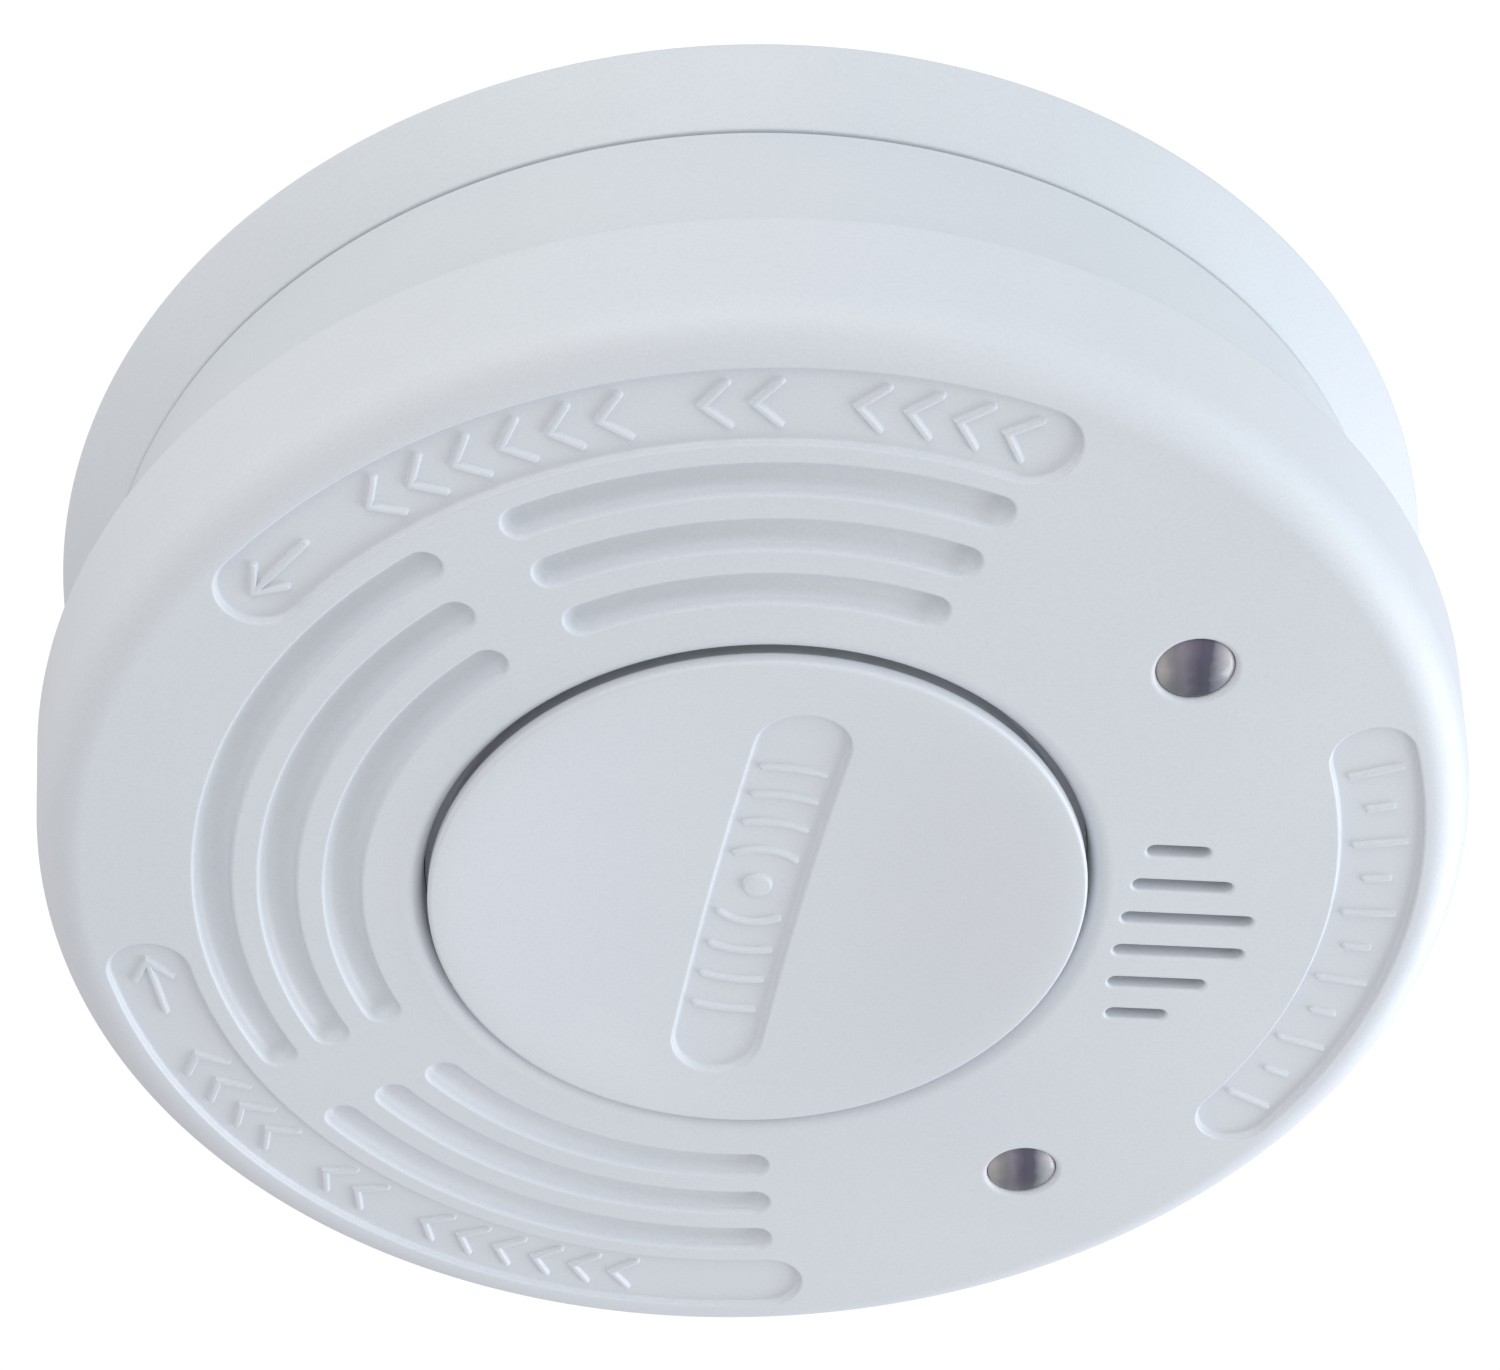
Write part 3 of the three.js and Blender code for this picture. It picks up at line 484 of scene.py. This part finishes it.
def circuit():
    """Solder mask over copper runs, with a glassy coat."""
    material, tree, shader = nodes_of("board_mask")
    place = tree.nodes.new("ShaderNodeTexCoord")
    bricks = tree.nodes.new("ShaderNodeTexBrick")
    bricks.inputs["Scale"].default_value = 160
    bricks.inputs["Mortar Size"].default_value = 0.03
    bricks.inputs["Color1"].default_value = (0.022, 0.13, 0.055, 1)
    bricks.inputs["Color2"].default_value = (0.03, 0.16, 0.07, 1)
    bricks.inputs["Mortar"].default_value = (0.06, 0.27, 0.12, 1)
    link(tree, place.outputs["Object"], bricks.inputs["Vector"])
    link(tree, bricks.outputs["Color"], shader.inputs["Base Color"])
    link(tree, ramp(tree, noise(tree, 240, 4), 0.28, 0.45), shader.inputs["Roughness"])
    bump(tree, shader, [(bricks.outputs["Fac"], 0.3, 0.00003), (noise(tree, 1500, 3), 0.1, 0.00002)])
    return material


def winding():
    """Enamelled copper wire in fine turns."""
    material, tree, shader = nodes_of("enamelled_winding")
    place = tree.nodes.new("ShaderNodeTexCoord")
    wave = tree.nodes.new("ShaderNodeTexWave")
    wave.bands_direction = "Z"
    wave.inputs["Scale"].default_value = 900
    wave.inputs["Distortion"].default_value = 0.6
    link(tree, place.outputs["Object"], wave.inputs["Vector"])
    link(tree, tint(tree, wave.outputs["Fac"], (0.16, 0.045, 0.02), (0.5, 0.19, 0.07)),
         shader.inputs["Base Color"])
    link(tree, ramp(tree, noise(tree, 500, 3), 0.25, 0.4), shader.inputs["Roughness"])
    shader.inputs["Metallic"].default_value = 0.7
    bump(tree, shader, [(wave.outputs["Fac"], 0.5, 0.0001)])
    return material


COVER = moulded("cover_plastic", (0.735, 0.76, 0.80), (0.715, 0.74, 0.785), 0.44)
BUTTON = moulded("button_plastic", (0.745, 0.77, 0.81), (0.725, 0.75, 0.795), 0.42)
HOUSING = moulded("housing_plastic", (0.715, 0.745, 0.78), (0.695, 0.725, 0.765), 0.46)
PLATE = moulded("plate_plastic", (0.725, 0.755, 0.79), (0.705, 0.735, 0.775), 0.46)
INNER = moulded("inner_plastic", (0.7, 0.71, 0.72), (0.66, 0.67, 0.68), 0.5, 0.25)
BLACK = moulded("black_plastic", (0.022, 0.022, 0.025), (0.014, 0.014, 0.016), 0.5, 0.5)
STEEL = metal("plated_steel", (0.62, 0.63, 0.64), (0.5, 0.51, 0.53), 0.32)
BRASS = metal("rolled_brass", (0.76, 0.56, 0.26), (0.62, 0.43, 0.18), 0.3, (30, 1, 1))
CERAMIC = moulded("silvered_ceramic", (0.74, 0.72, 0.66), (0.62, 0.59, 0.5), 0.4, 0.3)
CLEAR = lens("clear_epoxy", (0.2, 0.19, 0.22), (0.14, 0.13, 0.16), 0.25)
LENS = lamp_lens()
TINTED = lens("tinted_epoxy", (0.03, 0.02, 0.045), (0.015, 0.012, 0.022), 0.2)
SLEEVE = moulded("cell_sleeve", (0.05, 0.13, 0.33), (0.035, 0.1, 0.27), 0.28, 0.1)
BOARD, WINDING = circuit(), winding()

FINISHES = {
    INNER: ("sounder_housing", "switch_plunger", "power_pin"),
    BLACK: ("chamber_base", "chamber_labyrinth", "test_switch", "power_switch", "lamp_spacer_1",
            "lamp_spacer_2", "microcontroller", "capacitor"),
    STEEL: ("cover_screw_1", "cover_screw_2", "cover_screw_3", "board_screw_1", "board_screw_2",
            "insect_screen_left", "insect_screen_right", "receiver_shield", "sounder_contact_1",
            "sounder_contact_2", "sounder_contact_3", "cell_tab_plus", "cell_tab_minus"),
    BRASS: ("piezo_disc",),
    CERAMIC: ("piezo_ceramic",),
    CLEAR: ("ir_emitter",),
    TINTED: ("photodiode",),
    SLEEVE: ("lithium_cell",),
    BOARD: ("circuit_board",),
    WINDING: ("sounder_inductor",),
}
for finish, names in FINISHES.items():
    for name in names:
        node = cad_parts[name]
        node.data.materials.clear()
        node.data.materials.append(finish)


# ---------------------------------------------------------------- front cover
def cover_openings():
    """The sounder slots and lamp holes, as (outline(growth), lip rows) pairs."""
    made = []
    for aside, start, end in SLOTS:
        middle = Vector(((start + end) / 2 - SOUNDER_R, aside * SLOT_PITCH))
        middle.rotate(Matrix.Rotation(math.radians(SLOT_TILT), 2))
        centre = Vector((middle.x + SOUNDER_R, middle.y))
        centre.rotate(Matrix.Rotation(math.radians(SOUNDER_ANGLE), 2))
        made.append((lambda grow, c=tuple(centre), length=end - start: stadium(
            length, SLOT_W, SOUNDER_ANGLE + SLOT_TILT, grow, c, 0.5, 10), lip(0.22)))
    for r, angle in LED_PLACES:
        centre = polar(r, angle)
        made.append((lambda grow, c=centre: circle(LED_HOLE_R + grow, 64, c), lip(0.4)))
    return made


def turn_marks(start, turn):
    """An arrow and groups of chevrons, all pointing the way that the head is turned."""
    lines = [on_panel([(turn * 1.2, 1.3), (-turn * 0.6, 0), (turn * 1.2, -1.3)], start),
             on_panel([(-turn * 0.2, 0), (turn * 4.7, 0)], start)]
    at = start + turn * 14
    for count in CHEVRON_GROUPS[::turn]:
        for i in range(count):
            lines.append(on_panel([(turn * 0.8, 1.6), (-turn * 0.8, 0), (turn * 0.8, -1.6)],
                                  at + turn * i * CHEVRON_PITCH))
        at += turn * (count + 1) * CHEVRON_PITCH
    return lines


def care_marks():
    """A row of short and long bars."""
    lines, count, margin = [], 11, 6
    for i in range(count):
        angle = CARE_PANEL[0] + margin + i * (CARE_PANEL[1] - CARE_PANEL[0] - 2 * margin) / (count - 1)
        half = 0.8 if i % 2 else 1.7
        lines.append(on_panel([(0, -half), (0, half)], angle))
    return lines


def cover_profile():
    """Rows from the face over the rounded edge, down the flared side and back up inside."""
    edge, fillet, rim_wall = (FACE_R, FACE_Z + EDGE_R), 0.35, 1.8
    rows = [(FACE_R - SUPPORT, FACE_Z)] + arc(edge, EDGE_R, -90, -FLARE, 16)
    foot, brink = Vector(rows[-1]), Vector((RIM_R, RIM_Z))
    inner_side = (47.6, edge[1] + 0.2)
    rows += [tuple(foot.lerp(brink, t)) for t in (0.05, 0.35, 0.65, 0.9)]
    rows += rounded([tuple(foot), (RIM_R, RIM_Z, fillet), (RIM_R - rim_wall, RIM_Z, fillet),
                     inner_side])[1:-1]
    return rows + arc(edge, EDGE_R - COVER_WALL, -FLARE, -90, 4)


def hole_profile():
    """Rows from inside the face, round the collar's end and out to the rounded front edge."""
    collar_r, corner = HOLE_R + COLLAR_WALL, 0.2
    rows = rounded([(collar_r, FACE_Z + COVER_WALL), (collar_r, COLLAR_Z, corner),
                    (HOLE_R, COLLAR_Z, corner), (HOLE_R, FACE_Z + HOLE_BRINK)])
    rows += arc((HOLE_R + HOLE_BRINK, FACE_Z + HOLE_BRINK), HOLE_BRINK, 180, 270, 10)[1:]
    return rows + [(HOLE_R + HOLE_BRINK + SUPPORT, FACE_Z)]


def front_cover():
    """The cover with its grooves, panels, sounder slots, lamp holes and raised marks."""
    skin = Skin()
    face_edge, inside_edge = skin.turned(cover_profile())
    hole_inside, hole_face = skin.turned(hole_profile(), 360)
    face, inside = [face_edge, hole_face], [inside_edge, hole_inside]
    for outline, rows in cover_openings():
        front, back = skin.opening(outline, rows, FACE_Z, FACE_Z + COVER_WALL)
        face.append(front)
        inside.append(back)
    groove_rows = recess(GROOVE_DEPTH, 0.2, 0.75, steps=7)
    for group in GROOVE_GROUPS:
        for r, (start, end) in zip(GROOVE_RADII, group):
            face.append(skin.hollow(lambda grow, r=r, a=start, b=end: band(
                r - GROOVE_W / 2, r + GROOVE_W / 2, a, b, grow), groove_rows, FACE_Z))
    panel_rows = recess(PANEL_DEPTH, 0.16, 0.2, 0.03, 4, 0.08)
    for start, end in (REMOVE_PANEL, TIGHTEN_PANEL, CARE_PANEL):
        face.append(skin.hollow(lambda grow, a=start, b=end: band(
            *PANEL_RADII, a, b, grow, 0.5, 24), panel_rows, FACE_Z))
    skin.sheet(face)
    skin.sheet(inside)

    arrow_inset = 3.6
    lines = (turn_marks(REMOVE_PANEL[0] + arrow_inset, 1)
             + turn_marks(TIGHTEN_PANEL[1] - arrow_inset, -1) + care_marks())
    for line in lines:
        skin.raised(lambda grow, line=line: stroke(line, MARK_W / 2 + grow), MARK_SECTION,
                    FACE_Z + PANEL_DEPTH)
    boss_r, boss_top = 3, -11.3
    for angle in BOSS_ANGLES:
        skin.prism(circle(boss_r, 32, polar(BOSS_R, angle)), FACE_Z + COVER_WALL - 0.3, boss_top)
    return skin.piece("cover_shell", "head", "front_cover", COVER, "white_plastic")


# ---------------------------------------------------------------- test button
CREST = FACE_Z - BUTTON_PROUD
DISH_R = 21.8


def dish(x, y):
    """Height of the button's hollow front."""
    s = min(1.0, (x * x + y * y) / DISH_R ** 2)
    return CREST + BUTTON_DISH * (1 - s) ** 1.3


def button_marks():
    """Sound arcs along the badge, on both sides of its middle dot."""
    lines = []
    for side in (0, 180):
        for r in (3.6, 6.4, 9.2, 12):
            reach = min(38, math.degrees(math.asin(2.1 / r)))
            lines.append(arc((0, 0), r, side - reach + BADGE["angle"], side + reach + BADGE["angle"], 8))
    return lines


def inside_badge(x, y, grow):
    """Whether a point lies inside the badge's outline, grown."""
    a = math.radians(BADGE["angle"])
    u, v = x * math.cos(a) + y * math.sin(a), y * math.cos(a) - x * math.sin(a)
    reach = (BADGE["length"] - BADGE["width"]) / 2
    return math.hypot(max(0, abs(u) - reach), v) < BADGE["width"] / 2 + grow


def dish_points():
    """Rings of points that carry the dish's curve, on the face and on the badge's floor."""
    on_face, on_floor, ring_gap, clear = [], [], 0.7, 0.8
    for k in range(int(DISH_R / ring_gap)):
        r = ring_gap * k + 0.001
        for i in range(max(1, round(2 * math.pi * r / ring_gap))):
            x, y = polar(r, 360 * ring_gap * i / max(2 * math.pi * r, ring_gap) + k * 7)
            if inside_badge(x, y, -clear):
                on_floor.append((x, y))
            elif not inside_badge(x, y, clear) and r < DISH_R - 0.4:
                on_face.append((x, y))
    return on_face, on_floor


def button_profile():
    """Rows from the dish over the rounded edge, down the skirt, back inside and to the stem's end."""
    edge, waist_r, guide_r, bore_r = 0.3, BUTTON_R - 0.7, HOLE_R - 0.05, BUTTON_R - 1.8
    guide_z, inner_z = BUTTON_TOP - 0.9, CREST + BUTTON_DISH + 1.6
    stem_r, stem_z, chamfer = 2.2, -18.2, 0.3
    rows = [(DISH_R, CREST), (BUTTON_R - edge - 0.15, CREST)]
    rows += arc((BUTTON_R - edge, CREST + edge), edge, -90, 0, 6)
    rows += rounded([rows[-1], (BUTTON_R, CREST + 1.0, 0.12), (waist_r, CREST + 1.4, 0.1),
                     (waist_r, guide_z - 0.2, 0.2), (guide_r, guide_z, 0.1), (guide_r, BUTTON_TOP, 0.1),
                     (bore_r, BUTTON_TOP, 0.2), (bore_r, inner_z, 0.4), (stem_r, inner_z)])[1:]
    return rows + [(stem_r, stem_z - chamfer), (stem_r - chamfer, stem_z)]


def test_button():
    """The dished button with its badge, snap lugs and stem."""
    def badge(grow):
        return stadium(BADGE["length"], BADGE["width"], BADGE["angle"], grow)

    def badge_floor(x, y):
        return dish(x, y) + BADGE["depth"]

    skin = Skin()
    face, stem_end = skin.turned(button_profile(), 360)
    skin.faces.append(tuple(stem_end))
    mouth, bottom = skin.stack(badge, recess(BADGE["depth"], 0.16, 0.26, 0.04), dish)
    on_face, on_floor = dish_points()
    bulge = 1e-4
    skin.sheet([face, mouth], loose=skin.loop(on_face, dish), bulge=bulge)
    skin.sheet([bottom], loose=skin.loop(on_floor, badge_floor), bulge=bulge)
    for line in button_marks():
        skin.raised(lambda grow, line=line: stroke(line, MARK_W / 2 + grow), MARK_SECTION, badge_floor)
    skin.raised(lambda grow: circle(1.0 + grow, 32), MARK_SECTION, badge_floor)
    for angle in LUG_ANGLES:
        skin.prism(band(BUTTON_R - 1.6, HOLE_R + 1.0, angle - 7, angle + 7, 0, 0.8, 6),
                   BUTTON_TOP - 0.05, LUG_TOP)
    return skin.piece("button_cap", "button", "test_button", BUTTON, "white_plastic")


def return_spring():
    """The coil between the button and the board's underside."""
    coil_r, wire_r, turns, low, high = 5.4, 0.25, 5, -24.7, -13.9
    sides, steps = 10, 240
    skin, rings = Skin(), []
    for i in range(steps + 1):
        centre = low + (high - low) * i / steps
        rings.append([len(skin.points) + k for k in range(sides)])
        skin.points += [(*polar(coil_r + out, 360 * turns * i / steps), centre + up)
                        for out, up in circle(wire_r, sides)]
    for a, b in zip(rings, rings[1:]):
        skin.wall(a, b)
    skin.faces += [tuple(rings[0]), tuple(rings[-1])]
    coil = skin.piece("return_spring", "head", "button_spring", STEEL, "steel")
    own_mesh(coil)


# ---------------------------------------------------------------- lamps
def lamp_profile(tip):
    """Rows from the crown, down the side and over the flange to the lamp's back."""
    crown_r, crown, radius, steps = 2.4, 0.42, 2.56, 10
    flange_r, flange_z, back_z = radius + 0.4, tip + 7.6, tip + 8.6
    rows = [(crown_r * k / steps, tip + crown * (k / steps) ** 2) for k in range(1, steps + 1)]
    rows = rounded(rows + [(radius, tip + 0.55, 0.1), (radius, tip + 3)])
    return rows + [(radius, flange_z - 0.1), (radius + 0.1, flange_z), (flange_r - 0.05, flange_z),
                   (flange_r, flange_z + 0.05), (flange_r, back_z - 0.1), (flange_r - 0.1, back_z)]


def lamps():
    """5 mm lamps with gentle crowns that fill their holes, just proud of the face."""
    tip, lead_aside, lead_half = FACE_Z - LAMP_PROUD, 1.27, 0.25
    lead_z = tip + 8.2, tip + 15.2
    for name, (r, angle) in zip(("status_lamp", "alarm_lamp"), LED_PLACES):
        skin, centre = Skin(), polar(r, angle)
        crown, back = skin.turned(lamp_profile(tip), 64, centre)
        skin.faces += [tuple(crown), tuple(back)]
        for side in (-1, 1):
            x, y = centre[0] + side * lead_aside, centre[1]
            skin.prism([(x - lead_half, y - lead_half), (x + lead_half, y - lead_half),
                        (x + lead_half, y + lead_half), (x - lead_half, y + lead_half)], *lead_z)
        skin.piece(name + "_lens", "head", name, LENS, "clear_lens")


# ---------------------------------------------------------------- rear housing
def inlet_baffle(skin):
    """The ring and the fins that stand in the smoke inlet."""
    inner, outer, low, high, chamfer = 44.3, 45.3, HOUSING_RIM_Z - 2.4, HOUSING_RIM_Z + 0.4, 0.15
    inside, outside = skin.turned([(inner, high), (inner, low + chamfer), (inner + chamfer, low),
                                   (outer - chamfer, low), (outer, low + chamfer), (outer, high)], 240)
    skin.wall(outside, inside)
    count, root, tip, half, bevel = 24, 44.8, SEAM_R - 0.9, 0.6, 0.3
    section = ((root, -half), (tip - bevel, -half), (tip, bevel - half),
               (tip, half - bevel), (tip - bevel, half), (root, half))
    for i in range(count):
        turn = Matrix.Rotation(math.radians((i + 0.5) * 360 / count), 2)
        skin.prism([tuple(turn @ Vector(p)) for p in section], low, high)


def rear_housing():
    """The housing with its screw and pin holes, the smoke inlet's baffle and the bayonet's lips."""
    skin, w = Skin(), HOUSING_WALL
    rows = rounded([(SEAM_R - 1.2, HOUSING_Z), (SEAM_R, HOUSING_Z, 0.12),
                    (SEAM_R - 0.4, HOUSING_RIM_Z, 0.3), (SEAM_R - 0.3 - w, HOUSING_RIM_Z, 0.3),
                    (SEAM_R - 0.1 - w, HOUSING_Z - w, 0.3), (SEAM_R - 2.4, HOUSING_Z - w)])
    back_edge, inside_edge = skin.turned(rows)
    back, inside = [back_edge], [inside_edge]
    screw_hole_r = 3.0
    holes = [(screw_hole_r, polar(BOSS_R, angle)) for angle in BOSS_ANGLES]
    holes.append((PIN_HOLE_R, polar(PIN_R, PIN_ANGLE)))
    for r, centre in holes:
        upper, lower = skin.opening(lambda grow, r=r, c=centre: circle(r + grow, 48, c), lip(0.2),
                                    HOUSING_Z, HOUSING_Z - w, -1)
        back.append(upper)
        inside.append(lower)
    skin.sheet(back)
    skin.sheet(inside)
    inlet_baffle(skin)
    inner, neck, outer, half = 36.9, 38.2, 40.3, 7
    for middle in BAYONET_ANGLES:
        skin.prism(sector(inner, outer, middle, half, 12), *LIP_Z)
        skin.prism(sector(inner, neck, middle, half, 12), HOUSING_Z - 0.5, -3)
    return skin.piece("housing_shell", "head", "rear_housing", HOUSING, "white_plastic")


# ---------------------------------------------------------------- mounting plate
def screw_openings():
    """The keyholes and the curved slots, as outline(growth) functions."""
    made, first, last, cap = [], 70, 110, 4.4          # cap: the angle that a slot's round end takes
    for side in (0, 180):
        made.append(lambda grow, s=side: keyhole(s, grow))
        made.append(lambda grow, s=side: band(SCREW_R - SLOT_HALF, SCREW_R + SLOT_HALF,
                                              s + first - cap, s + last + cap, grow))
    return made


def sink_pockets():
    """Two rings of shallow pockets that keep the web's moulding even: (inner, outer, start, end)."""
    outer_ring = [(37.2, 45.6, 30 * i + 2.5, 30 * i + 27.5) for i in range(12)]
    return outer_ring + [(9, 16.5, 60 * i + 4, 60 * i + 56) for i in range(6)]


def ramp_floor(x, y):
    """Height of the slope that presses the power pin in as the head is turned home."""
    along = (RAMP_FOOT - math.degrees(math.atan2(y, x))) / RAMP_RUN
    return -WEB + RAMP_DEPTH * min(1, max(0.12, along))


def pin_ramp(skin):
    """The power pin's ramp, sunk in the web's underside. Returns the ring around its mouth."""
    radii = PIN_R - RAMP_HALF, PIN_R + RAMP_HALF
    mouth, last = skin.stack(lambda grow: band(*radii, *RAMP_ANGLES, grow, 0.5, 12), lip(0.08), -WEB)
    deep = skin.loop(band(*radii, *RAMP_ANGLES, -0.02, 0.5, 12), ramp_floor)
    skin.wall(last, deep)
    skin.sheet([deep], [deep[::-1]])       # reversed, so that only what lies outside it is left out
    return mouth


def mounting_plate():
    """The plate with its screw openings, sink pockets, pin ramp and the bayonet's ledges."""
    skin = Skin()
    rows = rounded([(PLATE_R - 1.4, 0), (PLATE_R, 0, 0.45), (SEAM_R, PLATE_Z, 0.14),
                    (SEAM_R - SKIRT, PLATE_Z, 0.3), (PLATE_R - SKIRT - 1.6, -WEB, 0.4),
                    (PLATE_R - 5, -WEB)], 5)
    back_edge, under_edge = skin.turned(rows)
    back, under = [back_edge], [under_edge]
    for outline in screw_openings():
        upper, lower = skin.opening(outline, lip(0.3), 0, -WEB, -1)
        back.append(upper)
        under.append(lower)
    pocket_rows = recess(0.8, 0.25, 0.3)
    for pocket in sink_pockets():
        back.append(skin.hollow(lambda grow, p=pocket: band(*p, grow), pocket_rows, 0, -1))
    under.append(pin_ramp(skin))
    skin.sheet(back)
    skin.sheet(under)
    bayonet_collar, stiffener = (40.8, 42.4, -4.35), (19, 20.4, -3.4)
    for inner, outer, low in (bayonet_collar, stiffener):
        inside, outside = skin.turned(rounded([(inner, -WEB + 0.1), (inner, low, 0.2), (outer, low, 0.2),
                                               (outer, -WEB + 0.1)]), 240)
        skin.wall(outside, inside)
    ledge_inner, ledge_outer, half = 38.6, 41, 9
    for middle in BAYONET_ANGLES:
        skin.prism(sector(ledge_inner, ledge_outer, middle, half, 14), *LEDGE_Z)
    return skin.piece("plate_shell", "base", "mounting_plate", PLATE, "white_plastic")


front_cover()
test_button()
return_spring()
lamps()
rear_housing()
mounting_plate()


# ---------------------------------------------------------------- camera, floor and light
def camera():
    """Looks up at the face from the front, 43.6 degrees under the horizon, rolled a little.

    Its distance is in metres and its angles are in radians.
    """
    distance, elevation = 0.2204765, 0.76167076
    roll, yaw, pitch = -0.04948191, -0.00254555, -0.06796607
    ce, se = math.cos(elevation), math.sin(elevation)
    right, up, back = Vector((1, 0, 0)), Vector((0, -se, ce)), Vector((0, -ce, -se))
    base = Matrix((math.cos(roll) * right + math.sin(roll) * up,
                   -math.sin(roll) * right + math.cos(roll) * up, back))
    axes = Matrix.Rotation(pitch, 3, "X") @ Matrix.Rotation(yaw, 3, "Y") @ base
    data = bpy.data.cameras.new("camera")
    data.lens, data.sensor_width, data.sensor_fit = 76.8, 36, "HORIZONTAL"
    data.clip_start, data.clip_end = 0.01, 20
    cam = bpy.data.objects.new("camera", data)
    bpy.context.scene.collection.objects.link(cam)
    place = Vector((0, -distance * ce, FACE_Z * MM - distance * se))
    cam.matrix_world = Matrix.Translation(place) @ axes.transposed().to_4x4()
    bpy.context.scene.camera = cam


def softbox(name, place, size, power, colour, aim=(0, 0, -0.02)):
    """A rectangular area light, aimed at the middle of the detector."""
    data = bpy.data.lights.new(name, "AREA")
    data.shape, data.size, data.size_y = "RECTANGLE", size[0], size[1]
    data.energy, data.color = power, colour
    lamp = bpy.data.objects.new(name, data)
    bpy.context.scene.collection.objects.link(lamp)
    lamp.location = place
    lamp.rotation_mode = "QUATERNION"
    lamp.rotation_quaternion = (Vector(aim) - Vector(place)).to_track_quat("-Z", "Y")


def surroundings():
    """A white backdrop for the camera, an even grey sky for the object, and six softboxes."""
    world = bpy.data.worlds.new("studio")
    world.use_nodes = True
    tree = world.node_tree
    shade = tree.nodes["Background"]
    shade.inputs["Color"].default_value = (0.991, 0.989, 1.0, 1)
    shade.inputs["Strength"].default_value = 0.677
    bright = tree.nodes.new("ShaderNodeBackground")
    bright.inputs["Color"].default_value = (1, 1, 1, 1)
    bright.inputs["Strength"].default_value = 1.05
    path, mix = tree.nodes.new("ShaderNodeLightPath"), tree.nodes.new("ShaderNodeMixShader")
    link(tree, path.outputs["Is Camera Ray"], mix.inputs["Fac"])
    link(tree, shade.outputs["Background"], mix.inputs[1])
    link(tree, bright.outputs["Background"], mix.inputs[2])
    link(tree, mix.outputs["Shader"], tree.nodes["World Output"].inputs["Surface"])
    bpy.context.scene.world = world
    softbox("window", (0.6, -0.1, -0.12), (0.3, 0.2), 0.54, (0.49, 0.72, 1.0))
    softbox("low_window", (0.5, 0.05, -0.25), (0.25, 0.25), 0.2, (0.83, 1.0, 0.4))
    softbox("far_window", (0.45, 0.3, -0.16), (0.4, 0.4), 2.22, (0.855, 0.88, 1.0))
    softbox("left_fill", (-0.45, -0.45, -0.12), (0.5, 0.5), 0.33, (1.0, 0.92, 0.72))
    softbox("front_fill", (0.0, -0.6, -0.25), (0.5, 0.4), 1.12, (1.0, 1.0, 1.0))
    softbox("high_fill", (0.0, -0.6, 0.12), (0.5, 0.4), 0.16, (0.3, 0.8, 1.0))


def floor():
    """A wide round pale floor, far below the ceiling that the detector hangs from."""
    radius, level = 4.5, -0.9
    mesh = bpy.data.meshes.new("studio_floor")
    bm = bmesh.new()
    bmesh.ops.create_circle(bm, cap_ends=True, cap_tris=True, segments=256, radius=radius,
                            matrix=Matrix.Translation((0, 0, level)))
    bm.to_mesh(mesh)
    bm.free()
    material, tree, shader = nodes_of("pale_floor")
    link(tree, tint(tree, ramp(tree, noise(tree, 2.5, 4), 0, 1), (0.86, 0.86, 0.86), (0.83, 0.83, 0.835)),
         shader.inputs["Base Color"])
    link(tree, ramp(tree, noise(tree, 14, 3), 0.6, 0.75), shader.inputs["Roughness"])
    bump(tree, shader, [(noise(tree, 60, 3), 0.05, 0.001)])
    mesh.materials.append(material)
    ground = bpy.data.objects.new("studio_floor", mesh)
    bpy.context.scene.collection.objects.link(ground)


camera()
surroundings()
floor()
bpy.context.scene.view_settings.view_transform = "Standard"
